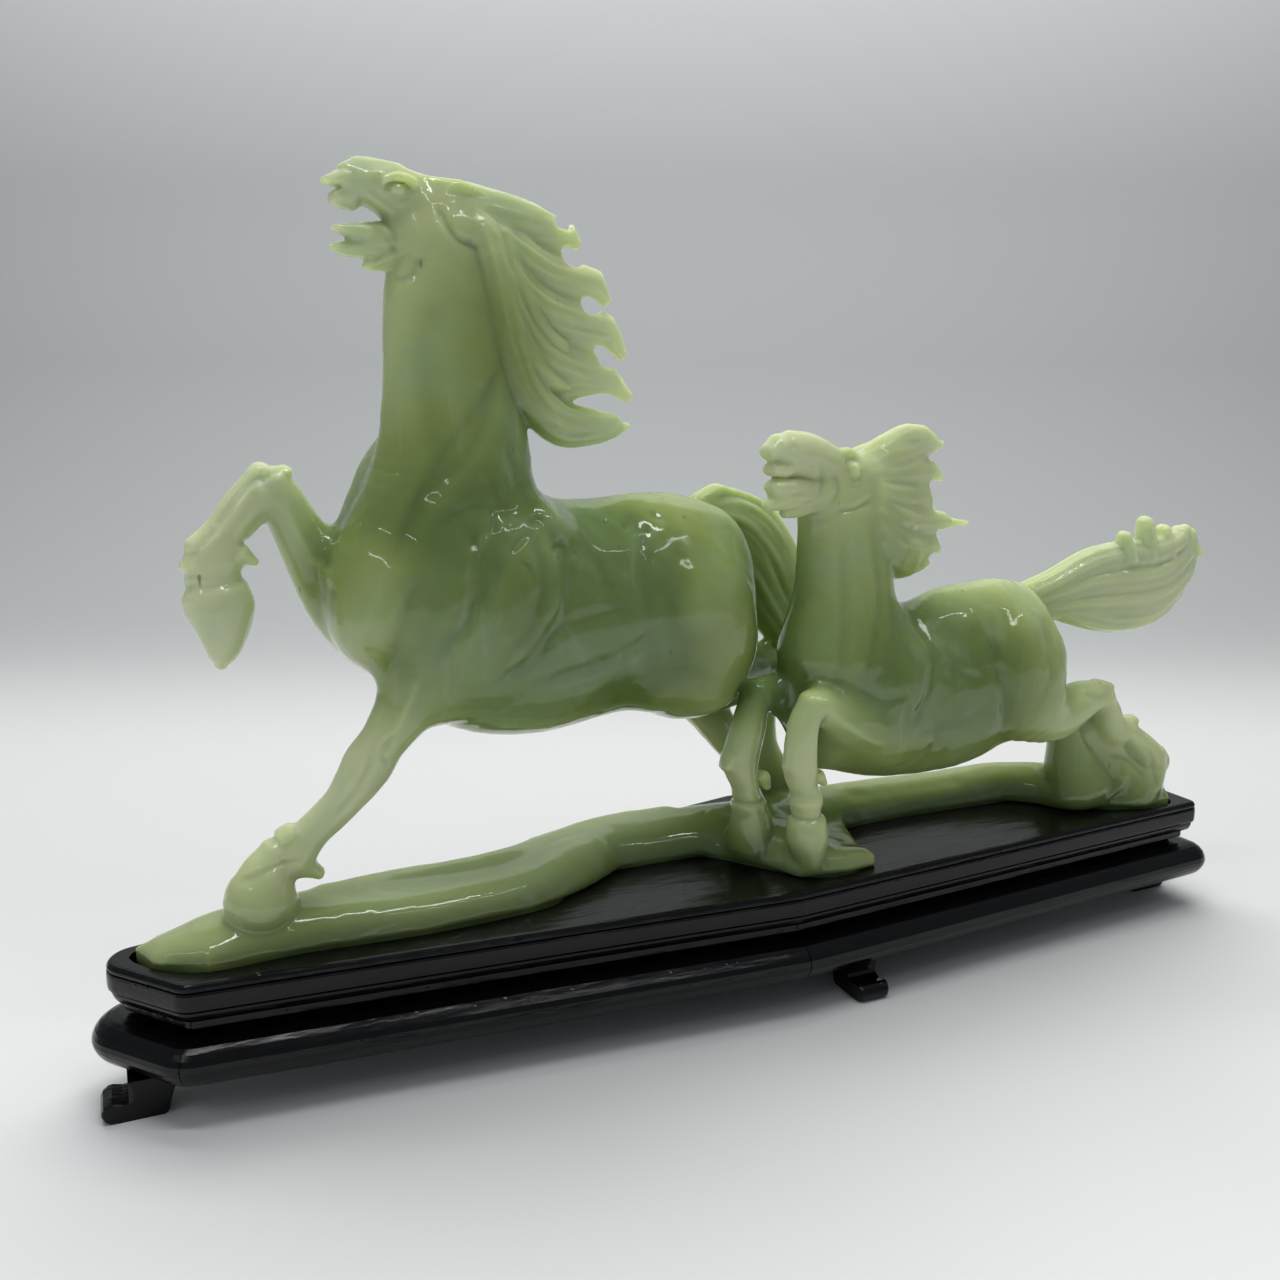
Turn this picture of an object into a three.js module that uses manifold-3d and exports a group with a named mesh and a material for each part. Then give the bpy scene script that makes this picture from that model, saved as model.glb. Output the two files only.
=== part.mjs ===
// A jade carving of a horse and a foal at full gallop on one winding ground strip, set loose in the
// routed socket of a black lacquered stand. The carving is one stone. The stand is a board on a ring of
// recessed waist strips, a ring of bulged frame members and four bracket feet. Millimetres, +Z up,
// the horses gallop towards -X, and the origin is on the floor at the centre of the footprint.

import * as THREE from 'three';
import { mergeVertices } from 'three/addons/utils/BufferGeometryUtils.js';
import Module from 'manifold-3d';

// ---------------------------------------------------------------- driving dimensions

const GAP = 0.3;                 // clearance between pieces that touch
const FOOT_HEIGHT = 11;
const FRAME_HEIGHT = 11.7;
const WAIST_HEIGHT = 4;
const BOARD_THICKNESS = 11;
const FRAME_BOTTOM = FOOT_HEIGHT;
const WAIST_BOTTOM = FRAME_BOTTOM + FRAME_HEIGHT + GAP;
const BOARD_BOTTOM = WAIST_BOTTOM + WAIST_HEIGHT;
const BOARD_TOP = BOARD_BOTTOM + BOARD_THICKNESS;

const SOCKET_DEPTH = 3;
const SOCKET_CLEARANCE = 0.8;
const RING_WIDTH = 13;           // how far the frame and waist reach in from the board's edge
const MITRE_GAP = 0.15;          // half the gap between two mitred members

// The board's plan: six corners with their own radii, counter-clockwise from the front left.
const PLAN = [
  { name: 'left_front', x: -162.5, y: -31, radius: 7 },
  { name: 'front_middle', x: 9, y: -43.5, radius: 5 },
  { name: 'right_front', x: 179.5, y: -31, radius: 3 },
  { name: 'right_back', x: 178.5, y: 9, radius: 5 },
  { name: 'back_middle', x: 29, y: 43.7, radius: 5 },
  { name: 'left_back', x: -186, y: -3, radius: 8 },
];
const SIDE_NAMES = ['front_left', 'front_right', 'right_end', 'back_right', 'back_left', 'left_end'];

// Side profiles as [inset from the board's edge, height], from the bottom up.
const BOARD_PROFILE = [
  [2.4, BOARD_BOTTOM], [0.9, BOARD_BOTTOM + 2.2], [0.2, BOARD_BOTTOM + 3.4], [0, BOARD_TOP - 1.6],
  [0.5, BOARD_TOP - 0.6], [1.6, BOARD_TOP],
];
const WAIST_PROFILE = [
  [6.2, WAIST_BOTTOM], [6.2, WAIST_BOTTOM + 1.2], [3.6, WAIST_BOTTOM + 1.5],
  [3.6, WAIST_BOTTOM + WAIST_HEIGHT - GAP],
];
const FRAME_PROFILE = [
  [0.5, FRAME_BOTTOM], [-2.4, FRAME_BOTTOM + 1], [-4.4, FRAME_BOTTOM + 3.4], [-5, FRAME_BOTTOM + 6],
  [-4, FRAME_BOTTOM + 8.8], [-1.6, FRAME_BOTTOM + 10.8], [2.5, FRAME_BOTTOM + FRAME_HEIGHT],
];

// The carving's base outline, which the socket repeats: front edge to the right, back edge to the left.
const BASE_OUTLINE = [
  [-173, -1], [-168, -16], [-155, -24], [-131, -23], [-99, -25], [-69, -23], [-58, -19], [-43, -5],
  [-6, -5], [4, -17], [18, -34], [31, -35.5], [39, -32], [44, -16], [48, -3], [78, -1], [114, -2],
  [127, -5], [140, -21], [156, -28], [169, -27], [172, -16], [161, -4], [138, 4], [118, 14], [90, 19],
  [55, 19], [6, 22], [-16, 21], [-38, 18], [-55, 9], [-73, 4], [-103, 3], [-129, 3], [-152, 3],
];
const BASE_BOTTOM = BOARD_TOP - SOCKET_DEPTH + GAP;
const BASE_EDGE_HEIGHT = 2;      // how far the base's own edge stands above the board

// ---------------------------------------------------------------- materials

const jade = new THREE.MeshStandardMaterial({ name: 'jade', color: '#9db57d', roughness: 0.12, metalness: 0 });
const lacquer = new THREE.MeshStandardMaterial({
  name: 'black_lacquer', color: '#1c1f22', roughness: 0.22, metalness: 0,
});

// ---------------------------------------------------------------- solids and booleans

const wasm = await Module();
wasm.setup();

function toSolid(geometry) {
  const bare = geometry.clone();
  bare.deleteAttribute('normal');
  bare.deleteAttribute('uv');
  const merged = mergeVertices(bare, 1e-4);
  return new wasm.Manifold(new wasm.Mesh({
    numProp: 3,
    vertProperties: new Float32Array(merged.attributes.position.array),
    triVerts: new Uint32Array(merged.index.array),
  }));
}

function toGeometry(solid) {
  const mesh = solid.getMesh();
  const geometry = new THREE.BufferGeometry();
  geometry.setAttribute('position', new THREE.BufferAttribute(new Float32Array(mesh.vertProperties), 3));
  geometry.setIndex(new THREE.BufferAttribute(new Uint32Array(mesh.triVerts), 1));
  geometry.computeVertexNormals();
  return geometry;
}

function box(low, high) {
  const geometry = new THREE.BoxGeometry(high[0] - low[0], high[1] - low[1], high[2] - low[2]);
  geometry.translate((low[0] + high[0]) / 2, (low[1] + high[1]) / 2, (low[2] + high[2]) / 2);
  return toSolid(geometry);
}

// A prism over a plan outline, from one height to another.
function prism(points, bottom, top) {
  const shape = new THREE.Shape(points.map(([x, y]) => new THREE.Vector2(x, y)));
  const geometry = new THREE.ExtrudeGeometry(shape, { depth: top - bottom, bevelEnabled: false });
  geometry.translate(0, 0, bottom);
  return toSolid(geometry);
}

// ---------------------------------------------------------------- the stand's plan

// Where the two sides beside corner i meet once both are moved in by inset (out, if it is negative).
function planCorner(i, inset) {
  const here = PLAN[i];
  const before = PLAN[(i + PLAN.length - 1) % PLAN.length];
  const after = PLAN[(i + 1) % PLAN.length];
  const inwardOf = (a, b) => new THREE.Vector2(a.y - b.y, b.x - a.x).normalize();
  const inA = inwardOf(before, here);
  const inB = inwardOf(here, after);
  const reach = inset / (1 + inA.dot(inB));
  return new THREE.Vector2(here.x, here.y).addScaledVector(inA.clone().add(inB), reach);
}

// The whole plan moved in by inset, each corner an arc about a fixed centre.
function planOutline(inset, arcSteps = 5) {
  const points = [];
  PLAN.forEach((corner, i) => {
    const radius = Math.max(corner.radius - inset, 0.3);
    const centre = planCorner(i, inset + radius);
    const before = PLAN[(i + PLAN.length - 1) % PLAN.length];
    const after = PLAN[(i + 1) % PLAN.length];
    const start = Math.atan2(before.x - corner.x, corner.y - before.y);
    let sweep = Math.atan2(corner.x - after.x, after.y - corner.y) - start;
    if (sweep < 0) sweep += 2 * Math.PI;
    for (let k = 0; k <= arcSteps; k += 1) {
      const angle = start + (sweep * k) / arcSteps;
      points.push(new THREE.Vector2(centre.x + radius * Math.cos(angle), centre.y + radius * Math.sin(angle)));
    }
  });
  return points;
}

// A solid whose side follows a profile of [inset, height] all round the plan.
function mouldedSolid(profile) {
  const rings = profile.map(([inset]) => planOutline(inset));
  const count = rings[0].length;
  const positions = [];
  const index = [];
  profile.forEach(([, height], level) => rings[level].forEach((p) => positions.push(p.x, p.y, height)));
  for (let level = 0; level + 1 < rings.length; level += 1) {
    for (let k = 0; k < count; k += 1) {
      const a = level * count + k;
      const b = level * count + ((k + 1) % count);
      index.push(a, b, a + count, b, b + count, a + count);
    }
  }
  THREE.ShapeUtils.triangulateShape(rings[0], []).forEach(([a, b, c]) => index.push(c, b, a));
  const lid = (rings.length - 1) * count;
  THREE.ShapeUtils.triangulateShape(rings[rings.length - 1], [])
    .forEach(([a, b, c]) => index.push(lid + a, lid + b, lid + c));
  const geometry = new THREE.BufferGeometry();
  geometry.setAttribute('position', new THREE.Float32BufferAttribute(positions, 3));
  geometry.setIndex(index);
  return toSolid(geometry);
}

// A ring with a profiled outside and a plain inside, cut at the mitres into one member for each side.
function mitredMembers(profile, width) {
  const bottom = profile[0][1];
  const top = profile[profile.length - 1][1];
  const outsideReach = -12;
  const hole = prism(planOutline(width).map((p) => [p.x, p.y]), bottom - 1, top + 1);
  const ring = mouldedSolid(profile).subtract(hole);
  return PLAN.map((corner, i) => {
    const next = (i + 1) % PLAN.length;
    const along = new THREE.Vector2(PLAN[next].x - corner.x, PLAN[next].y - corner.y).normalize();
    const start = along.clone().multiplyScalar(MITRE_GAP);
    const wedge = [
      planCorner(i, outsideReach).add(start), planCorner(next, outsideReach).sub(start),
      planCorner(next, width + 2).sub(start), planCorner(i, width + 2).add(start),
    ];
    return ring.intersect(prism(wedge.map((p) => [p.x, p.y]), bottom - 1, top + 1));
  });
}

// ---------------------------------------------------------------- the stand's pieces

function topBoard() {
  const outward = new THREE.Shape(BASE_OUTLINE.map(([x, y]) => new THREE.Vector2(x, y)));
  const cutter = new THREE.ExtrudeGeometry(outward, {
    depth: SOCKET_DEPTH, bevelEnabled: true, bevelThickness: 0.01, bevelSize: SOCKET_CLEARANCE,
    bevelSegments: 1,
  });
  cutter.translate(0, 0, BOARD_TOP - SOCKET_DEPTH + 0.02);
  return mouldedSolid(BOARD_PROFILE).subtract(toSolid(cutter));
}

// A bracket foot: side profile drawn as [out, up], with a scrolled toe, at a place on the plan.
function foot(width, turn, x, y) {
  const height = FOOT_HEIGHT - GAP;
  const shape = new THREE.Shape();
  shape.moveTo(-9, 0);
  shape.lineTo(4.6, 0);
  shape.absarc(4.6, 2.6, 2.6, -Math.PI / 2, Math.PI / 2, false);
  shape.lineTo(1.6, 4.6);
  shape.quadraticCurveTo(-1.4, 5.2, 0.4, height);
  shape.lineTo(-13, height);
  shape.quadraticCurveTo(-10.5, 6, -9, 0);
  const geometry = new THREE.ExtrudeGeometry(shape, {
    depth: width, bevelEnabled: false, curveSegments: 6,
  });
  geometry.translate(0, 0, -width / 2);
  geometry.rotateX(Math.PI / 2);
  geometry.rotateZ(turn);
  geometry.translate(x, y, 0);
  return geometry;
}

// ---------------------------------------------------------------- the carving

// One limb, lock of hair or body mass: a capsule bent along its stations. A station is
// [x, y, z, half width across the limb, half width in depth]; depth lies nearest to Y.
function limb(stations, sides = 10, perSpan = 2) {
  const spans = stations.length - 1;
  const path = new THREE.CatmullRomCurve3(stations.map(([x, y, z]) => new THREE.Vector3(x, y, z)));
  const girth = new THREE.CatmullRomCurve3(stations.map(([, , , a, b]) => new THREE.Vector3(a, b, 0)));
  const geometry = new THREE.CapsuleGeometry(1, 2, 2, sides, spans * perSpan);
  const position = geometry.attributes.position;
  const place = new THREE.Vector3();
  const size = new THREE.Vector3();
  for (let i = 0; i < position.count; i += 1) {
    const along = THREE.MathUtils.clamp(position.getY(i), -1, 1);
    const cap = position.getY(i) - along;
    const t = (along + 1) / 2;
    path.getPoint(t, place);
    girth.getPoint(t, size);
    const forward = path.getTangent(t);
    const depth = new THREE.Vector3(0, 1, 0).addScaledVector(forward, -forward.y).normalize();
    const across = new THREE.Vector3().crossVectors(forward, depth);
    place.addScaledVector(across, position.getX(i) * size.x);
    place.addScaledVector(depth, position.getZ(i) * size.y);
    place.addScaledVector(forward, cap * Math.min(size.x, size.y) * 0.8);
    position.setXYZ(i, place.x, place.y, place.z);
  }
  return toSolid(geometry);
}

function join(solids) {
  return solids.reduce((whole, solid) => whole.add(solid));
}

function horse() {
  return [
    // barrel, from the chest to the rump, and the belly line
    limb([[-103, -7, 127, 19, 21], [-86, -6, 124, 31, 26], [-64, -4, 121, 33, 26], [-42, -1, 120, 31, 25],
      [-22, 1, 120, 33, 26], [-10, 3, 117, 33, 25]], 14),
    // shoulders, the near one and the far one, and the breast between them
    limb([[-66, -17, 152, 10, 8], [-76, -19, 136, 17, 11], [-87, -17, 118, 15, 11]]),
    limb([[-92, 4, 152, 10, 8], [-98, 5, 138, 13, 10], [-98, 4, 122, 14, 11]]),
    // neck, throat to crest
    limb([[-88, -7, 138, 28, 21], [-83, -8, 160, 23, 17], [-83, -8, 182, 18.5, 14], [-84, -8, 205, 16.5, 13],
      [-85, -9, 222, 13, 11]], 12),
    // skull and nose
    limb([[-82, -9, 225, 10, 10], [-94, -9, 229, 9, 8.5], [-105, -10, 232, 6.5, 6.5], [-109, -10, 231.5, 5, 5.5]]),
    // lower jaw with its beard
    limb([[-86, -9, 219, 9, 9], [-96, -9, 219.5, 6.5, 7], [-104, -10, 220.5, 3, 4.5], [-109, -10, 220, 2.2, 3.5]], 8),
    limb([[-92, -9, 218, 6, 6], [-99, -9, 215.5, 4, 4], [-103, -9, 213.5, 2, 2.5]], 8, 1),
    // ears
    limb([[-84, -14, 231, 3, 2.5], [-78, -15, 234.5, 2, 1.6]], 6, 1),
    limb([[-84, -5, 232, 3, 2.5], [-78, -4, 235.5, 2, 1.6]], 6, 1),
    // mane, six locks blown back from the crest
    limb([[-82, -9, 230, 5, 5], [-66, -8, 231, 5, 4], [-57, -8, 229.5, 4, 3], [-52, -8, 227, 2, 2]], 8),
    limb([[-74, -9, 225, 7, 6], [-60, -8, 224, 6.5, 5], [-50, -8, 220.5, 4.5, 3.2], [-44, -7, 219, 2, 2]], 8),
    limb([[-72, -9, 214, 8, 7], [-58, -8, 212, 8.5, 5.5], [-45, -7, 206, 5.5, 3.8], [-36, -7, 203, 2.5, 2.2]], 8),
    limb([[-70, -8, 203, 8, 7], [-56, -8, 198, 9, 5.5], [-42, -7, 191, 6, 3.8], [-32, -6, 188, 2.5, 2.2]], 8),
    limb([[-68, -8, 192, 8, 7], [-54, -7, 186, 9, 5.5], [-40, -6, 180, 5.5, 3.8], [-29, -6, 177.5, 2.5, 2.2]], 8),
    limb([[-66, -8, 182, 9, 7], [-54, -7, 176, 8, 5.5], [-42, -6, 171, 5, 3.4], [-30, -6, 171.5, 1.8, 1.8]], 8),
    // raised right foreleg: forearm, knee, cannon, fetlock, pastern and hoof
    limb([[-98, 2, 120, 15, 11], [-111, 5, 128, 11.5, 9], [-121, 5, 143, 8, 7], [-128, 3, 154, 6.5, 6]]),
    limb([[-128, 3, 158, 5.5, 5.5], [-134, 2, 156, 6, 6], [-140, 1, 147, 5.5, 5], [-145, 0, 138.5, 8, 6]]),
    limb([[-145, 0, 137, 7.5, 5.5], [-146, 0, 127, 9.5, 7], [-145, 0, 120, 8, 6.5], [-145, 0, 115.5, 4, 4]]),
    // standing left foreleg
    limb([[-90, -14, 116, 15, 10], [-99, -15, 101, 9.5, 8], [-106, -15, 91, 6.6, 6.5], [-111, -14, 83, 6.8, 6.5],
      [-118, -13, 74, 5, 5], [-126, -12, 66, 5, 5], [-132, -12, 60, 6.5, 6]]),
    limb([[-131, -12, 60, 5.5, 5.5], [-136, -12, 57, 6.5, 7], [-141, -12, 50, 10, 9], [-142, -12, 46, 10, 10]]),
    // left hind leg: thigh, hock, cannon and hoof
    limb([[-10, 0, 100, 20, 15], [6, 8, 93, 13, 11], [20, 14, 92, 8, 8], [29, 17, 93, 6, 6]]),
    limb([[29, 17, 93, 6, 6], [28, 18, 78, 5, 5], [28, 17, 64, 5.5, 5.5], [31, 15, 50, 8, 8]], 8),
    // right hind leg
    limb([[-10, 12, 102, 17, 12], [4, 18, 84, 9, 8], [14, 20, 70, 6, 6], [24, 20, 57, 5.5, 5.5], [32, 18, 48, 8, 8]]),
    // tail, a wide plume that falls behind the foal's neck
    limb([[-6, 9, 139, 7, 7], [6, 13, 145, 8, 7], [19, 16, 138, 13, 8], [29, 17, 124, 16, 8], [36, 17, 111, 11, 7],
      [40, 16, 102, 5, 4]]),
  ];
}

function foal() {
  return [
    // barrel and neck
    limb([[31, -17, 90, 24, 16], [48, -15, 90, 27, 18], [66, -14, 91, 26, 18], [84, -12, 93, 28, 19],
      [101, -11, 96, 26, 18], [108, -11, 96, 24, 16]], 14),
    limb([[36, -17, 104, 22, 16], [36, -17, 122, 17, 13], [36, -17, 138, 13.5, 11], [36, -17, 150, 12, 10],
      [35, -17, 160, 9, 9]], 12),
    // head, jaw and beard, turned a little out of the strip
    limb([[38, -16, 160, 8, 8], [28, -18, 163, 7.5, 7], [18, -21, 165.5, 6.5, 6.5], [11, -23, 163.5, 5.5, 5.5]]),
    limb([[33, -18, 155, 8, 8], [22, -20, 153, 6, 6], [13, -22, 152, 4, 4.5], [8, -23, 151, 2.5, 3.5]], 8),
    limb([[20, -20, 150, 4, 4], [12, -22, 149, 3, 3], [8, -23, 147.5, 1.8, 2]], 8, 1),
    limb([[40, -20, 165, 3, 2.5], [45, -21, 168, 1.8, 1.5]], 6, 1),
    limb([[41, -12, 165, 3, 2.5], [46, -11, 168, 1.8, 1.5]], 6, 1),
    // mane, four locks
    limb([[41, -15, 165, 6, 6], [52, -14, 168, 6.5, 5], [62, -13, 169, 5.5, 3.8], [70, -12, 168, 3, 2.5]], 8),
    limb([[43, -14, 157, 9, 7], [57, -13, 158, 8, 5.5], [69, -12, 156.5, 5.5, 3.4], [76, -11, 154, 2.2, 2]], 8),
    limb([[44, -14, 147, 10, 8], [59, -12, 145, 9, 5.5], [73, -10, 142, 5, 3.6], [86, -9, 139.5, 1.6, 1.6]], 8),
    limb([[43, -14, 138, 9, 8], [55, -12, 134, 8.5, 5.5], [65, -11, 130, 6, 3.6], [73, -10, 131, 2, 2]], 8),
    // near (left) foreleg, folded at the knee, and its hoof
    limb([[52, -22, 78, 13, 9], [43, -26, 79, 9.5, 8], [30, -30, 86, 7.5, 7], [18, -32, 92, 5.6, 6]]),
    limb([[17, -32, 93, 4.5, 5], [14, -32, 84, 5, 5.5], [13, -32, 72, 5.5, 5.5], [15, -31, 66, 4.6, 5],
      [16, -31, 61, 6, 6], [16, -31, 57, 5.2, 5.5]], 10),
    limb([[16, -31, 57, 5, 5.5], [17, -31, 50, 6.5, 7], [17, -31, 46, 6.5, 7]], 10, 1),
    // far (right) foreleg
    limb([[42, -8, 86, 12, 8], [24, -10, 89, 8.5, 7], [10, -13, 91, 6, 6]]),
    limb([[8, -14, 93, 4.5, 5], [5, -15, 82, 5.6, 5.5], [2, -15, 70, 6.4, 5.5], [4, -15, 61, 4.8, 5],
      [6, -14, 52, 6.5, 7], [7, -13, 46, 8, 9]]),
    // near (left) hind leg: thigh, gaskin, hock, cannon and hoof
    limb([[104, -16, 94, 20, 13], [112, -20, 80, 13, 11], [124, -21, 75, 8.5, 8], [136, -21, 79, 7, 6.5],
      [145, -21, 78, 6, 6]]),
    limb([[144, -21, 79, 5.5, 6], [150, -21, 68, 6, 6], [159, -22, 62, 6, 6], [164, -23, 54, 7, 7],
      [164, -22, 46, 8, 8]], 8),
    // far (right) hind leg
    limb([[106, -2, 88, 14, 9], [120, -5, 77, 9, 8], [132, -9, 74, 6.5, 6.5]], 8),
    limb([[134, -9, 76, 5.5, 6], [139, -10, 62, 6.5, 6], [146, -13, 50, 9, 9]], 8),
    // the web of stone left between the hind legs
    limb([[145, -15, 64, 7, 5], [152, -16, 54, 10, 7], [158, -17, 46, 12, 9]], 8, 1),
    // tail, a long plume that ends in curls
    limb([[110, -8, 111, 7, 7], [123, -9, 113, 6, 6], [136, -11, 114, 9, 6.5], [150, -13, 115, 13, 8],
      [163, -15, 117, 14, 8.5], [174, -16, 122, 10.5, 7], [176, -16, 130, 5.5, 4]]),
    limb([[158, -14, 123, 6, 6], [161, -15, 131, 4, 4], [158, -15, 136, 2.5, 3]], 8, 1),
    limb([[166, -16, 124, 6, 6], [169, -16, 134, 4, 4], [167, -16, 139, 2.5, 3]], 8, 1),
  ];
}

// The ground strip: a shallow slab that fills the socket and a rounded ridge winding along it.
function ground() {
  const slab = prism(BASE_OUTLINE, BASE_BOTTOM, BOARD_TOP + BASE_EDGE_HEIGHT);
  const ridge = [
    limb([[-165, -9, 38, 3, 9], [-152, -10, 39, 7, 11], [-129, -10, 39, 9, 11.5], [-103, -11, 39, 8, 12],
      [-73, -10, 39, 8, 12.5], [-55, -4, 40, 9.5, 13], [-36, 6, 41, 10, 11.5], [-14, 8, 41, 10, 12],
      [8, 4, 40, 11, 14], [30, 4, 40, 10, 13], [58, 9, 40, 9, 9.5], [90, 9, 40, 8, 9.5],
      [118, 5, 40, 7.5, 8.5], [138, -8, 40, 9, 11], [156, -15, 40, 8, 10]], 12),
    limb([[14, -8, 40, 11, 11], [20, -20, 40, 10, 12], [24, -27, 40, 6, 12]], 8),
  ];
  return join([slab, ...ridge]);
}

function jadeCarving() {
  const far = 400;
  const belowBoard = box([-far, -far, -far], [far, far, BOARD_TOP + GAP]);
  const figures = join([...horse(), ...foal(), ground()]).subtract(belowBoard);
  return figures.add(prism(BASE_OUTLINE, BASE_BOTTOM, BOARD_TOP + BASE_EDGE_HEIGHT));
}

// ---------------------------------------------------------------- assembly

const figurine = new THREE.Group();

function addPiece(name, geometry, material) {
  const mesh = new THREE.Mesh(geometry, material);
  mesh.name = name;
  figurine.add(mesh);
  return mesh;
}

addPiece('jade_carving', toGeometry(jadeCarving()), jade);
addPiece('top_board', toGeometry(topBoard()), lacquer);
mitredMembers(WAIST_PROFILE, RING_WIDTH).forEach((member, i) => {
  addPiece(`waist_${SIDE_NAMES[i]}`, toGeometry(member), lacquer);
});
mitredMembers(FRAME_PROFILE, RING_WIDTH).forEach((member, i) => {
  addPiece(`frame_${SIDE_NAMES[i]}`, toGeometry(member), lacquer);
});
addPiece('foot_left', foot(11, Math.PI, -176, -17), lacquer);
addPiece('foot_right', foot(11, 0, 175, -11), lacquer);
addPiece('foot_front', foot(10, -Math.PI / 2, 33, -40), lacquer);
addPiece('foot_back', foot(10, Math.PI / 2, 29, 37), lacquer);

export default figurine;
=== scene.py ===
"""A horse and a foal at full gallop, carved from one pale green stone, on a black lacquered stand.

The stand is a board with a socket, a ring of waist strips, a ring of bulged frame members and four
bracket feet. The carving lies loose in the socket. Sizes in the sections are millimetres.
"""

import bpy
import numpy as np
import openvdb
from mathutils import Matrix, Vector


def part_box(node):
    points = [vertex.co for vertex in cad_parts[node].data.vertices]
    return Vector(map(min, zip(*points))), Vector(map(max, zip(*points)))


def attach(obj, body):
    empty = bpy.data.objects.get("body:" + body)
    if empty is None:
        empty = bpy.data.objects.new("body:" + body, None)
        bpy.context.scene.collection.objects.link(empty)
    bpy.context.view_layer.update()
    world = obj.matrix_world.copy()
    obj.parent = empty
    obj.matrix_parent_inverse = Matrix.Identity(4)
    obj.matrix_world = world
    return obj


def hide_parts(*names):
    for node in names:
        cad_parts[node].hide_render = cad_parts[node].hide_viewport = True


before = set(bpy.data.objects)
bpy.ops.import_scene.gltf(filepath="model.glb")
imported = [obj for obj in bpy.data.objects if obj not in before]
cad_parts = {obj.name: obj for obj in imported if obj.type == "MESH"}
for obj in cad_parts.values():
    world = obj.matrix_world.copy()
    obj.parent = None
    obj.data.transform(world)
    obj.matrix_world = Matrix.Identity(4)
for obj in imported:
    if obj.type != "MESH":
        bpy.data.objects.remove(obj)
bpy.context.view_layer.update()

MM = 0.001

# ------------------------------------------------------------------ the top board
# One board of hardwood with an irregular six-sided plan. Its edge is moulded with a small bead, a
# flat band and a lower step, and a socket is routed in its top to the carving's own base outline.

board_low, board_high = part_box("top_board")
MIDDLE_X = (board_low.x + board_high.x) / 2 / MM
MIDDLE_Y = (board_low.y + board_high.y) / 2 / MM
BOARD_TOP = board_high.z / MM
BOARD_BOTTOM = board_low.z / MM

SOCKET_DEPTH = 3.0
SOCKET_CLEARANCE = 0.8
SIDES = ("front_left", "front_right", "right_end", "back_right", "back_left", "left_end")
MITRE_GAP = 0.15

# Corners counter-clockwise from the front left: x and y from the board's middle, and a radius.
PLAN = np.array([
    [-162.5, -31, 7], [9, -43.5, 5], [179.5, -31, 3], [178.5, 9, 5], [29, 43.7, 5], [-186, -3, 8],
])

# The carving's base outline: the front edge to the right, then the back edge to the left.
BASE_OUTLINE = np.array([
    [-172, -6], [-168, -16], [-155, -24], [-131, -23], [-99, -25], [-69, -23], [-58, -19], [-43, -5],
    [-6, -5], [4, -17], [18, -34], [31, -35.5], [39, -32], [44, -16], [48, -3], [78, -1], [114, -2],
    [127, -5], [140, -21], [156, -28], [169, -27], [172, -16], [161, -4], [138, 4], [118, 14], [90, 19],
    [55, 19], [6, 22], [-16, 21], [-38, 18], [-55, 9], [-73, 4], [-103, 3], [-129, 3], [-150, 0.6],
], float)


def plan_side(side, inset, steps=9, spacing=5.0):
    """The run of one side at an inset: half of its first corner's arc, its straight, half of the next arc.

    A corner's arc keeps its centre, so its radius is the corner's radius less the inset.
    """
    runs = []
    ends = []
    for corner in (side, (side + 1) % len(PLAN)):
        here, before, after = (PLAN[(corner + k) % len(PLAN)] for k in (0, -1, 1))
        out_a = np.array([here[1] - before[1], before[0] - here[0]])
        out_b = np.array([after[1] - here[1], here[0] - after[0]])
        out_a, out_b = out_a / np.linalg.norm(out_a), out_b / np.linalg.norm(out_b)
        radius = max(here[2] - inset, 0.2)
        centre = here[:2] - (out_a + out_b) * (inset + radius) / (1 + out_a @ out_b)
        start = np.arctan2(out_a[1], out_a[0])
        sweep = (np.arctan2(out_b[1], out_b[0]) - start) % (2 * np.pi)
        half = (0.5, 1.0) if corner == side else (0.0, 0.5)
        angle = start + sweep * np.linspace(*half, steps)
        runs.append(centre + radius * np.stack([np.cos(angle), np.sin(angle)], 1))
        ends.append(here[:2])
    count = max(int(np.linalg.norm(ends[1] - ends[0]) / spacing), 4)
    between = np.linspace(runs[0][-1], runs[1][0], count + 1)[1:-1]
    return np.concatenate([runs[0], between, runs[1]])


def plan_ring(inset):
    """All six sides of the plan at an inset, end to end, with no point twice."""
    return np.concatenate([plan_side(side, inset)[:-1] for side in range(len(PLAN))])


def grid_mesh(name, grid):
    """A mesh over rings of points, with its first and last ring closed by flat faces.

    Point j of ring i is joined to its neighbours on the ring and to point j of the next ring.
    """
    rings, count = grid.shape[:2]
    i, j = np.arange(rings - 1)[:, None], np.arange(count)[None, :]
    ahead, beside = i + 1, (j + 1) % count
    quads = np.stack([i * count + j, i * count + beside, ahead * count + beside, ahead * count + j], -1)
    faces = quads.reshape(-1, 4).tolist()
    faces += [list(range(count))[::-1], list(range((rings - 1) * count, rings * count))]
    mesh = bpy.data.meshes.new(name)
    mesh.from_pydata(grid.reshape(-1, 3) * MM, [], faces)
    mesh.update()
    return mesh


def from_middle(points, height):
    """Plan points measured from the board's middle, at a height, in the shared frame."""
    tall = np.broadcast_to(height, points.shape[:-1])
    return np.stack([points[..., 0] + MIDDLE_X, points[..., 1] + MIDDLE_Y, tall], -1)


def add_piece(name, mesh, material, slot, body, *nodes):
    """Puts a mesh in the scene as a piece with a material and a body, and hides the solids it stands for.

    The slot is not used.
    """
    mesh.materials.clear()
    mesh.materials.append(material)
    piece = bpy.data.objects.new(name, mesh)
    bpy.context.scene.collection.objects.link(piece)
    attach(piece, body)
    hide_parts(*nodes)


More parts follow.
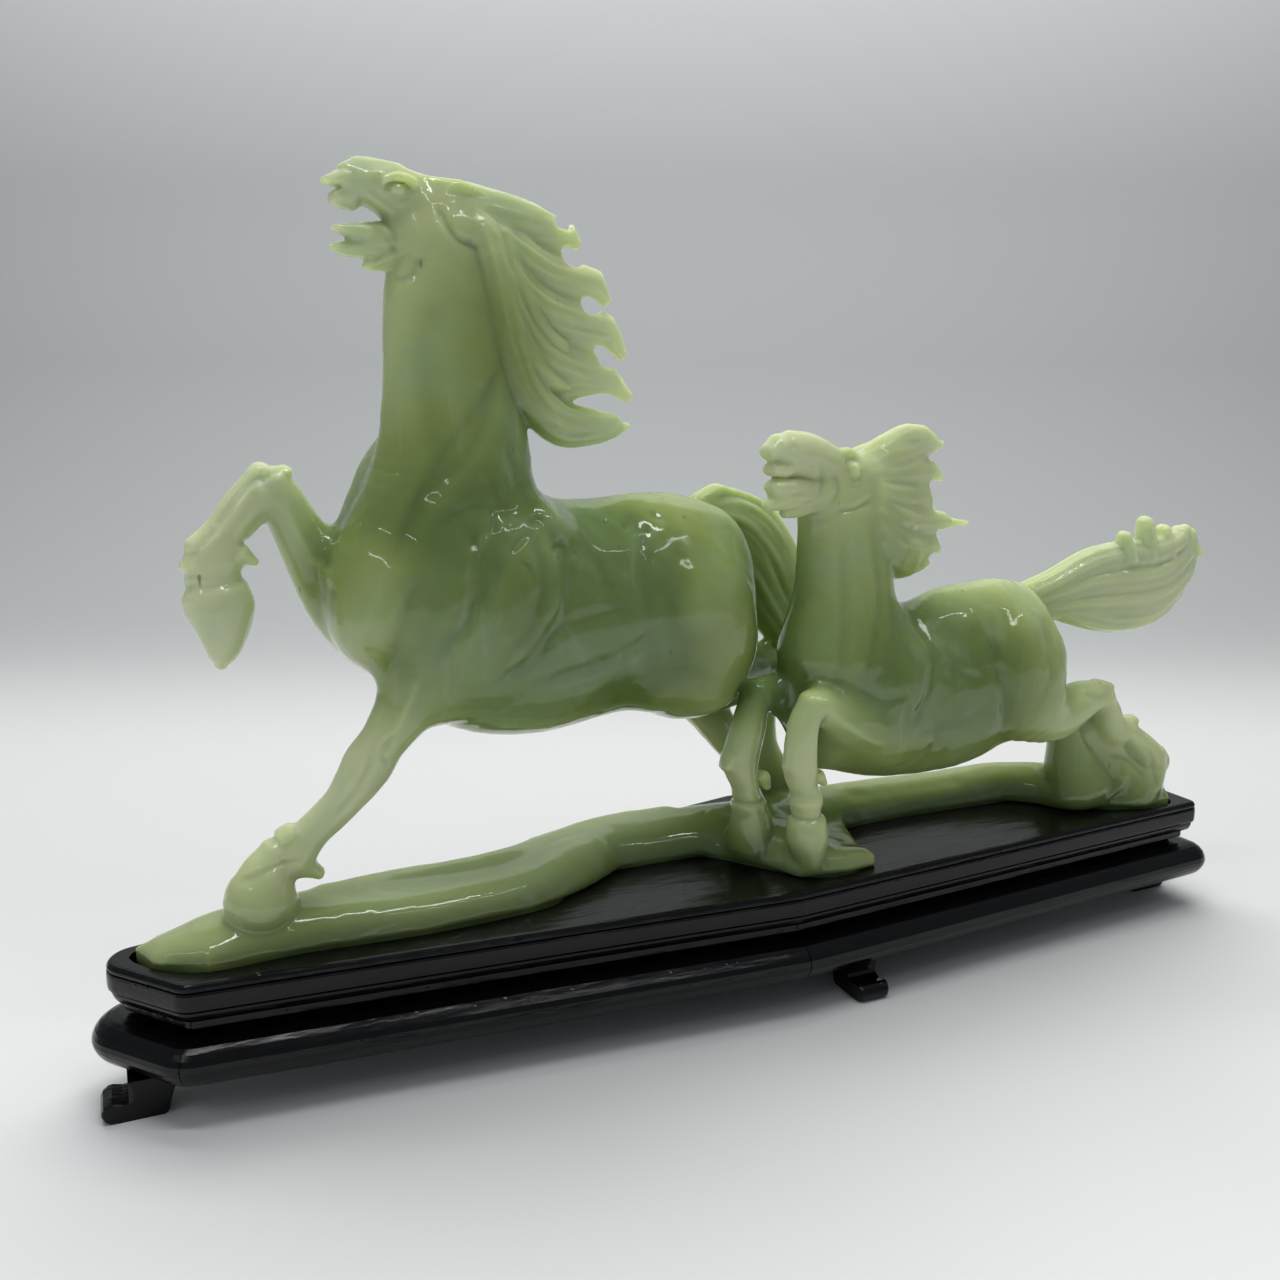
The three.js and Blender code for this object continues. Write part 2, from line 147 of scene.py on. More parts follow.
def linear(hex_colour):
    """An sRGB hex colour as linear red, green, blue and alpha."""
    srgb = np.array([int(hex_colour[k:k + 2], 16) / 255 for k in (1, 3, 5)])
    bright = np.where(srgb <= 0.04045, srgb / 12.92, ((srgb + 0.055) / 1.055) ** 2.4)
    return (*bright.tolist(), 1.0)


def add_node(tree, kind, inputs=None, **settings):
    """A shader node with its settings; each input is a value, or a socket to link from."""
    node = tree.nodes.new(kind)
    for key, value in settings.items():
        setattr(node, key, value)
    for key, value in (inputs or {}).items():
        if isinstance(value, bpy.types.NodeSocket):
            tree.links.new(value, node.inputs[key])
        else:
            node.inputs[key].default_value = value
    return node


def new_material(name):
    """A new material, its node tree and its shader, which is joined to the output."""
    material = bpy.data.materials.new(name)
    material.use_nodes = True
    tree = material.node_tree
    tree.nodes.clear()
    shader = add_node(tree, "ShaderNodeBsdfPrincipled")
    add_node(tree, "ShaderNodeOutputMaterial", {"Surface": shader.outputs[0]})
    return material, tree, shader


def black_lacquer():
    """Black lacquer brushed by hand on hardwood.

    A glossy blue-black film that has flowed into long soft waves along the brush, over fine grain,
    with dust nibs and a few brown chips where the edges have been knocked.
    """
    material, tree, shader = new_material("brushed_black_lacquer")
    place = add_node(tree, "ShaderNodeTexCoord").outputs["Object"]
    drawn = add_node(tree, "ShaderNodeMapping", {"Vector": place, "Scale": (0.18, 1, 1)})
    flow = add_node(tree, "ShaderNodeTexNoise", {"Vector": drawn.outputs[0], "Scale": 150, "Detail": 2})
    grain = add_node(tree, "ShaderNodeTexNoise", {"Vector": drawn.outputs[0], "Scale": 900, "Detail": 4})
    nibs = add_node(tree, "ShaderNodeTexVoronoi", {"Vector": place, "Scale": 260})
    nib = add_node(tree, "ShaderNodeMapRange", {
        "Value": nibs.outputs["Distance"], "From Min": 0.05, "From Max": 0.16, "To Min": 1.0, "To Max": 0.0})
    chips = add_node(tree, "ShaderNodeTexNoise", {"Vector": place, "Scale": 85, "Detail": 3})
    chip = add_node(tree, "ShaderNodeMapRange", {
        "Value": chips.outputs[0], "From Min": 0.775, "From Max": 0.79})
    film = add_node(tree, "ShaderNodeMix", {
        0: flow.outputs[0], 6: linear("#030304"), 7: linear("#08090b")}, data_type="RGBA")
    worn = add_node(tree, "ShaderNodeMix", {
        0: chip.outputs[0], 6: film.outputs[2], 7: linear("#5a4128")}, data_type="RGBA")
    tree.links.new(worn.outputs[2], shader.inputs["Base Color"])
    gloss = add_node(tree, "ShaderNodeMapRange", {
        "Value": grain.outputs[0], "From Min": 0.3, "From Max": 0.7, "To Min": 0.1, "To Max": 0.24})
    tree.links.new(gloss.outputs[0], shader.inputs["Roughness"])
    shader.inputs["IOR"].default_value = 1.5
    shader.inputs["Specular IOR Level"].default_value = 0.29
    waves = add_node(tree, "ShaderNodeBump", {"Height": flow.outputs[0], "Strength": 0.5, "Distance": 0.0006})
    fine = add_node(tree, "ShaderNodeBump", {
        "Height": grain.outputs[0], "Strength": 0.35, "Distance": 0.0002, "Normal": waves.outputs[0]})
    dust = add_node(tree, "ShaderNodeBump", {
        "Height": nib.outputs[0], "Strength": 0.25, "Distance": 0.0002, "Normal": fine.outputs[0]})
    tree.links.new(dust.outputs[0], shader.inputs["Normal"])
    return material


LACQUER = black_lacquer()

# [inset, height above the board's underside]: lower step, line, flat band, line, bead and top.
BOARD_EDGE = np.array([
    [2.6, 0.0], [2.0, 0.35], [1.35, 1.2], [0.95, 2.3], [0.85, 3.1], [1.15, 3.3], [0.5, 3.55], [0.1, 4.0],
    [0.0, 5.0], [0.0, 6.5], [0.05, 8.0], [0.2, 8.6], [0.75, 8.85], [0.35, 9.1], [0.2, 9.5], [0.3, 10.0],
    [0.7, 10.6], [1.2, 10.9], [1.9, 11.0],
])


def top_board():
    """The moulded board as rings round the plan, one ring for each point of its edge, less the socket.

    The socket is a prism over the base outline, moved out by the clearance.
    """
    scale = (BOARD_TOP - BOARD_BOTTOM) / BOARD_EDGE[-1, 1]
    rings = [from_middle(plan_ring(inset), BOARD_BOTTOM + height * scale) for inset, height in BOARD_EDGE]
    mesh = grid_mesh("top_board_solid", np.array(rings))
    turn = np.roll(BASE_OUTLINE, -1, 0) - np.roll(BASE_OUTLINE, 1, 0)
    out = np.stack([turn[:, 1], -turn[:, 0]], 1) / np.linalg.norm(turn, axis=1, keepdims=True)
    mouth = rounded(BASE_OUTLINE + out * SOCKET_CLEARANCE)
    floor = BOARD_TOP - SOCKET_DEPTH
    tool = grid_mesh("socket", np.array([from_middle(mouth, z) for z in (floor, BOARD_TOP + 2)]))
    solid = bpy.data.objects.new("board_blank", mesh)
    cutter = bpy.data.objects.new("socket_cutter", tool)
    for blank in (solid, cutter):
        bpy.context.scene.collection.objects.link(blank)
    cut = solid.modifiers.new("socket", "BOOLEAN")
    cut.object, cut.operation, cut.solver = cutter, "DIFFERENCE", "EXACT"
    routed = bpy.data.meshes.new_from_object(solid.evaluated_get(bpy.context.evaluated_depsgraph_get()))
    for blank in (solid, cutter):
        bpy.data.objects.remove(blank)
    return routed


def rounded(outline, steps=4):
    """A closed Catmull-Rom curve through an outline's corners."""
    p0, p1, p2, p3 = (np.roll(outline, k, 0)[:, None] for k in (1, 0, -1, -2))
    t = (np.arange(steps) / steps)[None, :, None]
    curve = 0.5 * (2 * p1 + (p2 - p0) * t + (2 * p0 - 5 * p1 + 4 * p2 - p3) * t ** 2
                   + (3 * p1 - p0 - 3 * p2 + p3) * t ** 3)
    return curve.reshape(-1, 2)


add_piece("stand_top_board", top_board(), LACQUER, "black_lacquer", "stand", "top_board")

# ------------------------------------------------------------------ the waist and the frame
# Under the board six strips make a recessed waist, and under them six bulged members make the frame.
# Each is planed to its section, mitred at the corners, glued up and lacquered, so its faces wander a
# little and a hairline shows at each mitre.

RING_WIDTH = 13.0
WAIST_UNEVENNESS = 0.08
FRAME_UNEVENNESS = 0.3
PLANING_WAVE = 38.0
WAIST_SECTION = np.array([[6.2, 0.0], [6.2, 1.2], [3.9, 1.35], [3.6, 1.7], [3.6, 3.7]])
FRAME_SECTION = np.array([
    [0.7, 0.0], [-0.6, 0.15], [-1.9, 0.75], [-3.2, 1.9], [-4.2, 3.3], [-4.8, 4.7], [-5.0, 6.0],
    [-4.7, 7.4], [-4.0, 8.8], [-2.9, 10.0], [-1.5, 10.9], [0.2, 11.4], [2.5, 11.7],
])


def wander(points, size, seed):
    """A smooth unevenness: the mean of six sine waves in random directions, size being one wavelength."""
    rng = np.random.default_rng(seed)
    total = 0.0
    for _ in range(6):
        way = rng.normal(size=3)
        way *= 2 * np.pi / (size * rng.uniform(0.8, 1.5) * np.linalg.norm(way))
        total = total + np.sin(sum(p * w for p, w in zip(points, way)) + rng.uniform(0, 2 * np.pi))
    return total / 6


def mitred_member(node, side, section, unevenness):
    """One side's member: a closed section carried along the plan from mitre to mitre.

    Each section point runs at its own inset, moved in or out by a smooth unevenness.
    """
    low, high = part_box(node)
    bottom, top = low.z / MM, high.z / MM
    back = np.array([[RING_WIDTH, section[-1, 1]], [RING_WIDTH, section[0, 1]]])
    loop = np.concatenate([section, back])
    heights = bottom + loop[:, 1] * (top - bottom) / section[-1, 1]
    start, end = PLAN[side, :2], PLAN[(side + 1) % len(PLAN), :2]
    along = (end - start) / np.linalg.norm(end - start)
    runs = []
    for (inset, _), height in zip(loop, heights):
        run = from_middle(plan_side(side, inset), height)
        uneven = unevenness * wander(run.T, PLANING_WAVE, 5) * (inset < RING_WIDTH)
        run[:, :2] += np.array([along[1], -along[0]]) * uneven[:, None]
        place = (run[:, :2] - run[:1, :2]) @ along / ((run[-1, :2] - run[0, :2]) @ along)
        run[:, :2] += along * (MITRE_GAP * (1 - 2 * place))[:, None]
        runs.append(run)
    return grid_mesh(node, np.stack(runs, 1)[::-1])


for number, side_name in enumerate(SIDES):
    waist = mitred_member(f"waist_{side_name}", number, WAIST_SECTION, WAIST_UNEVENNESS)
    add_piece(f"stand_waist_{side_name}", waist, LACQUER, "black_lacquer", "stand", f"waist_{side_name}")
    member = mitred_member(f"frame_{side_name}", number, FRAME_SECTION, FRAME_UNEVENNESS)
    add_piece(f"stand_frame_{side_name}", member, LACQUER, "black_lacquer", "stand", f"frame_{side_name}")

# ------------------------------------------------------------------ the feet
# Four bracket feet, sawn and filed from small blocks and glued under the frame. Each narrows to a
# neck and turns out in a short scrolled toe.

FOOT_SIDE = np.array([
    [-13.0, 10.7], [-11.8, 8.6], [-10.6, 6.0], [-9.7, 3.2], [-9.2, 0.9], [-8.6, 0.15], [-8.0, 0.0], [0.0, 0.0],
    [4.2, 0.0], [5.6, 0.25], [6.7, 1.0], [7.2, 2.2], [7.2, 3.2], [6.6, 4.4], [5.6, 5.1], [4.4, 5.2],
    [3.2, 4.9], [1.9, 4.6], [0.5, 4.7], [-0.6, 5.3], [-1.0, 6.4], [-0.9, 8.0], [-0.2, 9.6], [0.4, 10.7],
])


def bracket_foot(node, out):
    """A foot: its side outline carried across its width, the edges eased by shrinking the end rings."""
    low, high = (np.array(corner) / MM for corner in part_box(node))
    out = np.array(out, float)
    across = np.array([-out[1], out[0]])
    width = abs((high - low)[:2] @ np.abs(across))
    reach = (high + low)[:2] / 2 @ out + (high - low)[:2] @ np.abs(out) / 2
    middle = (high + low)[:2] / 2 @ across
    centre = FOOT_SIDE.mean(0)
    rings = []
    for step, ease in ((-0.5, 0.93), (-0.46, 0.98), (-0.4, 1.0), (0.4, 1.0), (0.46, 0.98), (0.5, 0.93)):
        side = centre + (FOOT_SIDE - centre) * [ease, 1.0]
        place = np.outer(reach - FOOT_SIDE[:, 0].max() + side[:, 0], out)
        place += across * (middle + step * width)
        rings.append(np.column_stack([place, side[:, 1]]))
    return grid_mesh(node, np.array(rings)[::-1])


for foot_name, outward in (("foot_left", (-1, 0)), ("foot_right", (1, 0)),
                           ("foot_front", (0, -1)), ("foot_back", (0, 1))):
    foot = bracket_foot(foot_name, outward)
    add_piece(f"stand_{foot_name}", foot, LACQUER, "black_lacquer", "stand", foot_name)

# ------------------------------------------------------------------ the jade carving
# One stone, sawn, ground and polished: a horse and a foal with their manes and tails and the ground
# they run on. The shape is worked out as a distance field, because limbs, hair and ground flow into
# one another without a seam: each mass is the distance to an oval carried along a curve, smoothly
# joined to the rest, and each groove is cut from it the same way.
# A station is [x, y, z, half width across, half width in depth], x and y from the board's middle.

VOXEL = 0.62
ROOM = 6.0
FAR_OUT = 60.0
stone_low, stone_high = (np.array(corner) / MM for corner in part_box("jade_carving"))
first = stone_low - ROOM
cells = np.ceil((stone_high + ROOM - first) / VOXEL).astype(int)
axes = [(first[k] + VOXEL * np.arange(cells[k])).astype(np.float32) for k in range(3)]
stone = np.full(tuple(cells), FAR_OUT, np.float32)


def station_curve(stations, steps=5):
    """A Catmull-Rom curve through the stations, with its half widths carried along it."""
    s = np.array(stations, float)
    s[:, :2] += [MIDDLE_X, MIDDLE_Y]
    ends = np.concatenate([[2 * s[0] - s[1]], s, [2 * s[-1] - s[-2]]])
    ends[[0, -1], 3:] = s[[0, -1], 3:]
    p0, p1, p2, p3 = (ends[k:len(ends) - 3 + k][:, None] for k in range(4))
    t = (np.arange(steps) / steps)[None, :, None]
    curve = 0.5 * (2 * p1 + (p2 - p0) * t + (2 * p0 - 5 * p1 + 4 * p2 - p3) * t ** 2
                   + (3 * p1 - p0 - 3 * p2 + p3) * t ** 3)
    curve = np.concatenate([curve.reshape(-1, 5), s[-1:]])
    curve[:, 3:] = np.maximum(curve[:, 3:], 0.3)
    return curve


def oval_distance(stations, margin, strands=0, depth=0.0, twist=0.0):
    """The signed distance to an oval carried along a curve, and the block of cells that it covers.

    Each cell takes its nearest point on the curve; its offset across, in depth and past the ends is
    measured in half widths. Strands are rounded ridges round the oval, with sharp grooves between.
    """
    curve = station_curve(stations)
    reach = curve[:, 3:].max(1)[:, None] + margin
    low, high = (curve[:, :3] - reach).min(0), (curve[:, :3] + reach).max(0)
    block = tuple(slice(*np.clip([int((low[k] - first[k]) / VOXEL), int((high[k] - first[k]) / VOXEL) + 2],
                                 0, cells[k])) for k in range(3))
    if any(part.start >= part.stop for part in block):
        return None, block
    x, y, z = np.meshgrid(*(axis[part] for axis, part in zip(axes, block)), indexing="ij", sparse=True)
    shape = np.broadcast_shapes(x.shape, y.shape, z.shape)
    nearest, along = np.full(shape, 1e9, np.float32), np.zeros(shape, np.float32)
    for k, (a, b) in enumerate(zip(curve[:-1, :3].astype(np.float32), curve[1:, :3].astype(np.float32))):
        step = b - a
        t = ((x - a[0]) * step[0] + (y - a[1]) * step[1] + (z - a[2]) * step[2]) / max(step @ step, 1e-6)
        t = np.clip(t, 0, 1)
        away = (x - a[0] - t * step[0]) ** 2 + (y - a[1] - t * step[1]) ** 2 + (z - a[2] - t * step[2]) ** 2
        closer = away < nearest
        nearest = np.where(closer, away, nearest)
        along = np.where(closer, k + t, along)
    forward = np.gradient(curve[:, :3], axis=0)
    forward /= np.linalg.norm(forward, axis=1, keepdims=True)
    inward = np.array([0.0, 1.0, 0.0]) - forward * forward[:, 1:2]
    inward /= np.linalg.norm(inward, axis=1, keepdims=True)
    across = np.cross(forward, inward)
    table = np.concatenate([curve, forward, inward, across], 1).astype(np.float32)
    widest = float(curve[:, 3:].max())
    distance = np.sqrt(nearest) - widest
    near = np.nonzero(distance < margin)
    if not len(near[0]):
        return None, block
    along = along[near]
    knot = np.minimum(along.astype(int), len(curve) - 2)
    part = (along - knot)[:, None]
    at = table[knot] * (1 - part) + table[knot + 1] * part
    offset = np.stack([x.ravel()[near[0]], y.ravel()[near[1]], z.ravel()[near[2]]], 1) - at[:, :3]
    wide, deep = at[:, 3], at[:, 4]
    c, b, a = ((offset * at[:, k:k + 3]).sum(1) for k in (5, 8, 11))
    tip = 0.8 * np.minimum(wide, deep)
    k0 = np.sqrt((a / wide) ** 2 + (b / deep) ** 2 + (c / tip) ** 2)
    k1 = np.sqrt((a / wide ** 2) ** 2 + (b / deep ** 2) ** 2 + (c / tip ** 2) ** 2)
    exact = k0 * (k0 - 1) / np.maximum(k1, 1e-4)
    if strands:
        share = along / (len(curve) - 1)
        turn = np.arctan2(b / deep, a / wide) * strands / 2
        ridge = np.abs(np.sin(turn + twist * share + 0.7 * np.sin(5 * share)))
        exact = exact + depth * np.minimum(1, wide / 4) * (1 - ridge)
    distance[near] = exact
    return distance, block


def mass(blend, stations, **hair):
    """Adds an oval mass to the stone, joined over a fillet of about the blend."""
    distance, block = oval_distance(stations, blend + 3, **hair)
    if distance is not None:
        here = stone[block]
        fillet = np.maximum(blend - np.abs(here - distance), 0) / blend
        stone[block] = np.minimum(here, distance) - fillet ** 2 * blend / 4


def groove(blend, stations):
    """Cuts an oval groove from the stone, its lips eased over the blend."""
    distance, block = oval_distance(stations, blend + 3)
    if distance is not None:
        here = stone[block]
        fillet = np.maximum(blend - np.abs(here + distance), 0) / blend
        stone[block] = np.maximum(here, -distance) + fillet ** 2 * blend / 4


def score(path, width, cut, side=0, middle=-8.0):
    """Cuts a soft line of even depth into a flank, or raises a ridge where the cut is negative.

    The path is given as x and z, seen from the side, and reaches through to the middle on the near
    side (-1), the far side (1) or both. The cut falls off as a bell over the width, and at both ends.
    """
    curve = station_curve([[px, 0, pz, 1, 1] for px, pz in path])[:, [0, 2]]
    reach = 3 * width
    lows, highs = curve.min(0) - reach, curve.max(0) + reach
    block = [slice(*np.clip([int((lows[n] - first[k]) / VOXEL), int((highs[n] - first[k]) / VOXEL) + 2],
                            0, cells[k])) for n, k in ((0, 0), (1, 2))]
    across_y = int((middle - first[1]) / VOXEL)
    rows = {-1: slice(0, across_y), 0: slice(0, cells[1]), 1: slice(across_y, cells[1])}[side]
    px, pz = axes[0][block[0]][:, None], axes[2][block[1]][None, :]
    nearest, share = np.full(np.broadcast_shapes(px.shape, pz.shape), 1e9), 0.0
    for k, (a, b) in enumerate(zip(curve[:-1], curve[1:])):
        step = b - a
        t = np.clip(((px - a[0]) * step[0] + (pz - a[1]) * step[1]) / max(step @ step, 1e-6), 0, 1)
        away = (px - a[0] - t * step[0]) ** 2 + (pz - a[1] - t * step[1]) ** 2
        share = np.where(away < nearest, (k + t) / (len(curve) - 1), share)
        nearest = np.minimum(nearest, away)
    cut = cut * np.exp(-nearest / width ** 2) * np.clip(5 * np.minimum(share, 1 - share) + 0.15, 0, 1)
    stone[block[0], rows, block[1]] += cut[:, None, :].astype(np.float32)


# The ground: a rounded, water-worn ridge that winds along the board.
mass(5, [[-165, -9, 38, 3, 9], [-152, -10, 39, 6.5, 11], [-129, -10, 39, 8.6, 11.5],
         [-103, -11, 39, 7.8, 12], [-73, -10, 39, 7.6, 12.5], [-55, -4, 39.4, 8.4, 13],
         [-36, 6, 40, 8.8, 11.5], [-14, 8, 40, 9, 12], [8, 4, 40, 9.6, 14], [30, 4, 40, 10, 13],
         [58, 9, 40, 9, 9.5], [90, 9, 40, 8, 9.5], [118, 5, 40, 9.6, 8.8], [138, -8, 40, 10, 11],
         [156, -15, 40, 8, 10]])
mass(4, [[14, -8, 40, 10, 11], [20, -20, 40, 9, 12], [24, -27, 40, 5.5, 12]])
mass(2.5, [[16, -28, 40, 4.6, 6], [28, -31, 39.6, 4.4, 5], [38, -31, 39, 3.2, 4]])
mass(3, [[-122, -3, 43, 3.6, 4], [-104, -3, 44.4, 3.8, 4.4], [-84, -4, 44.6, 4, 4.6], [-66, -2, 45, 4.4, 5],
         [-50, 7, 44, 4.2, 6], [-30, 11, 45.2, 4.0, 5], [-10, 12, 45.2, 3.4, 5]])
mass(3, [[-148, -15, 41, 3.6, 5], [-128, -17, 42, 4.2, 5], [-104, -18, 42, 4.2, 6], [-84, -18, 42, 4.2, 6],
         [-68, -15, 43, 4.4, 6], [-54, -7, 44, 4.6, 6], [-42, -1, 44, 4.6, 6]])
groove(3, [[-122, -9, 50.2, 1.0, 2.4], [-104, -10, 50.8, 1.2, 2.4], [-84, -10.5, 50.8, 1.2, 2.4],
           [-68, -8, 51.6, 1.1, 2.4], [-56, 0, 53.6, 1.0, 2.4], [-44, 5, 54.6, 0.8, 2.4]])
groove(3, [[-66, -14, 50.4, 1.0, 2.4], [-54, -7, 52.4, 1.1, 2.4], [-44, 0, 53.6, 1.0, 2.4],
           [-26, 3, 54, 0.8, 2.4]])
groove(2.5, [[56, 1, 47.6, 0.8, 1.6], [76, 1, 47.2, 0.9, 1.6], [98, 1, 46.8, 0.9, 1.6]])

# The horse's trunk, from the breast to the rump, with its shoulders, ribs and thighs.
mass(5, [[-103, -7, 127, 19, 21], [-86, -6, 124, 31, 26], [-64, -4, 119.6, 34.4, 26],
         [-42, -1, 119.2, 32.2, 25], [-22, 1, 120, 32.6, 26], [-10, 3, 117, 32.6, 25]])
mass(9, [[-88, -7, 136, 26.5, 21], [-83, -8, 160, 22, 17], [-83, -8, 182, 18, 14.5], [-84, -8, 205, 16, 13],
         [-85, -9, 220, 13, 11]])
mass(8, [[-63, -19, 146, 7, 7], [-71, -22, 136, 12, 8], [-82, -21, 120, 14, 9], [-91, -16, 108, 11, 9]])
mass(8, [[-92, 4, 148, 9, 9], [-99, 5, 134, 11, 10], [-99, 4, 120, 13, 11]])
mass(6, [[-90, 5, 173, 6, 6], [-96, 5, 160, 9.4, 8], [-101.4, 5, 148, 9.4, 9], [-103, 5, 138, 10, 9]])
mass(8, [[-100, -16, 136, 8, 8], [-102, -15, 124, 10, 9]])
mass(9, [[-14, -13, 122, 14, 13], [-8, -13, 108, 14, 12], [-10, -10, 98, 13, 11]])
mass(5, [[-24, -8, 99, 10, 12], [-10, -8, 97, 10.4, 11.6]])
score([[-74.4, 187.6], [-80.8, 170.2], [-94.4, 155.7], [-103.7, 140.9]], 2.08, 0.81, -1)
score([[-70.5, 192.6], [-80.8, 177.2], [-91.6, 163.1], [-100, 150]], 1.95, 0.68, -1)
score([[-72, 180], [-84, 164], [-96, 150]], 3.38, -0.5, -1)
score([[-72, 172], [-70, 160], [-66, 152], [-62, 146]], 2.08, 0.68, -1)
score([[-77.3, 144.8], [-78.9, 135.9], [-84.2, 127.9], [-91, 120.2], [-95, 112]], 2.08, 0.99, -1)
score([[-86, 150], [-82, 140], [-84, 132], [-92, 124]], 1.82, 0.62, -1)
score([[-64, 148], [-58, 138], [-60, 124], [-70, 112], [-80, 106]], 2.34, 1.05, -1)
score([[-70, 150], [-66, 136], [-70, 122], [-78, 112]], 1.95, 0.62, -1)
score([[-92, 148], [-86, 152], [-78, 153], [-70, 151]], 2.08, 0.56, -1)
score([[-69, 103.8], [-58.3, 106.5], [-48.7, 108.1], [-37.7, 111.6], [-30, 116]], 2.34, 0.87, -1)
score([[-67, 117.9], [-54.6, 122], [-38.1, 123.3]], 2.6, 0.62, -1)
score([[-56, 142], [-48, 136], [-44, 126]], 2.34, 0.62, -1)
score([[-30, 148], [-33, 137], [-33.4, 126], [-32.7, 112], [-30, 100]], 2.6, 0.99, -1)
score([[-22, 150], [-18, 140], [-19, 126], [-23, 112]], 4.16, -0.56, -1)
score([[-48, 149], [-42, 143], [-36, 144], [-31, 150]], 2.6, 0.62, -1)
score([[-98, 138], [-102, 128], [-104, 116], [-98, 108]], 2.34, 0.68, -1)
score([[-104, 152], [-92, 142], [-76, 136], [-64, 140]], 2.34, 0.5, 1)
score([[-64, 148], [-60, 134], [-66, 118], [-80, 106]], 2.34, 0.87, 1)
score([[-66, 104], [-50, 108], [-34, 112]], 2.34, 0.74, 1)
score([[-30, 147], [-34, 130], [-31, 108]], 2.86, 0.93, 1)
score([[-72, 184], [-84, 166], [-100, 146]], 2.08, 0.74, 1)

# Short facets are left under the polish on the withers and the loins, where they catch the light.
FACETS = (
    (-72, 144), (-66, 149), (-60, 142), (-78, 150), (-70, 137), (-36, 145), (-42, 146), (-31, 142), (-26, 147),
    (88, 111), (95, 115), (101, 111),
)
facets = np.random.default_rng(3)
for x, z in FACETS:
    dx, dz = facets.uniform(-3.5, 3.5, 2)
    score([[x - dx, z - dz], [x + 0.6, z], [x + dx, z + dz - 1]], 0.9, 0.5, -1)

# The horse's head: skull, cheek, flared nose, open mouth, jaw, lips, brow, eyes, ears and beard.
mass(4, [[-82, -9, 223.5, 9, 9.6], [-92, -9, 229, 7.6, 8.4], [-103, -10, 232.6, 5.8, 6.2],
         [-108, -10, 233.2, 4.8, 5.4]])
mass(2, [[-96, -9, 235.8, 2.4, 4], [-102, -9.6, 237, 2.2, 3.4], [-106, -10, 237.6, 1.6, 2.8]], strands=5,
         depth=0.5)
mass(2.5, [[-87, -12, 221.5, 7.6, 7.4], [-91, -12, 221, 7, 6.6]])
mass(2.5, [[-88, -9, 220, 6.6, 7.6], [-96, -9, 220.4, 5.2, 6.4], [-103, -10, 220.4, 3.2, 4.8],
           [-107, -10, 220.4, 2.4, 4]])
mass(1.2, [[-107.5, -10, 229.6, 3.4, 4.4], [-111, -10, 229.2, 2.4, 4.0]])
mass(1.0, [[-108, -10, 233.6, 3.0, 5.2], [-112, -10, 233.2, 1.8, 4.4], [-114, -10, 233.2, 0.9, 3.4]])
groove(0.8, [[-114, -10, 231.2, 0.5, 8], [-110.4, -10, 231.4, 0.4, 8]])
groove(0.8, [[-118, -10, 224.2, 1.9, 9], [-109, -10, 224.2, 1.6, 9], [-106, -10, 224.4, 0.8, 9]])
mass(1.0, [[-104, -11, 221, 2.6, 4.6], [-109, -11, 221.6, 1.8, 3.8], [-112.4, -11, 222, 0.8, 2.4]],
           strands=5, depth=0.5)
mass(1.0, [[-100, -10, 218.6, 3.4, 4.8], [-106, -10, 217.4, 2.6, 4], [-110.4, -10, 217.2, 1.7, 3],
           [-112.4, -10, 217.6, 0.9, 2]], strands=6, depth=0.6)
mass(1.0, [[-94, -9, 218, 4.4, 5.4], [-99, -9.4, 215.4, 3.4, 4.4], [-103, -9.4, 213.8, 2, 3],
           [-104.4, -9.4, 213.2, 1, 2]], strands=7, depth=0.6)
groove(0.5, [[-116, -10, 219.6, 0.5, 8], [-110, -10, 219.7, 0.4, 8]])
for y in (-17.2, -1.2):
    mass(1.6, [[-100, y, 233.0, 1.2, 1.1], [-96.5, y, 233.7, 1.6, 1.3], [-93, y, 233.0, 1.2, 1.1]])
    eye_y = y - 0.4 * np.sign(y + 9)
    mass(0.4, [[-97.6, eye_y, 231, 1.5, 1.4], [-96.4, eye_y, 230.9, 1.5, 1.4]])
for side in (-1, 1):
    score([[-100.4, 230.4], [-98.6, 232.6], [-95.6, 232.8], [-93.2, 230.6]], 0.55, 0.7, side)
    score([[-99.6, 229.6], [-97, 228.6], [-94.4, 229.6]], 0.55, 0.6, side)
    score([[-111.4, 234.8], [-109.4, 236], [-107.6, 234.6], [-108.6, 233]], 0.55, 0.7, side, -10)
    score([[-106.6, 228.6], [-101.5, 226], [-98.5, 222], [-97.5, 217.6]], 0.8, 0.8, side)
    score([[-104, 222.4], [-100, 219.8], [-97.6, 216.4]], 0.6, 0.5, side)
    score([[-104, 231.4], [-100.4, 228.6], [-96, 226.6]], 0.8, 0.7, side)
    score([[-87.6, 227.4], [-85.6, 223], [-82.6, 219.6], [-77, 218]], 1.1, 1.2, side)
    score([[-106.4, 233.4], [-101.6, 235], [-96.4, 236.8]], 0.7, -0.5, side)
    score([[-92, 216], [-93.6, 211.6], [-98, 209]], 1.2, 0.7, side)
score([[-88, 205], [-92, 196], [-92, 180], [-90, 160]], 3.2, 0.8, -1)
mass(1.2, [[-87, -14, 231, 2.2, 2], [-82, -15, 232.6, 1.9, 1.6], [-78, -15.4, 232.6, 1.0, 1.0]])
mass(1.2, [[-87, -4.4, 231.6, 2.2, 2], [-82, -3.4, 233.2, 1.9, 1.6], [-78, -3, 233.2, 1.0, 1.0]])

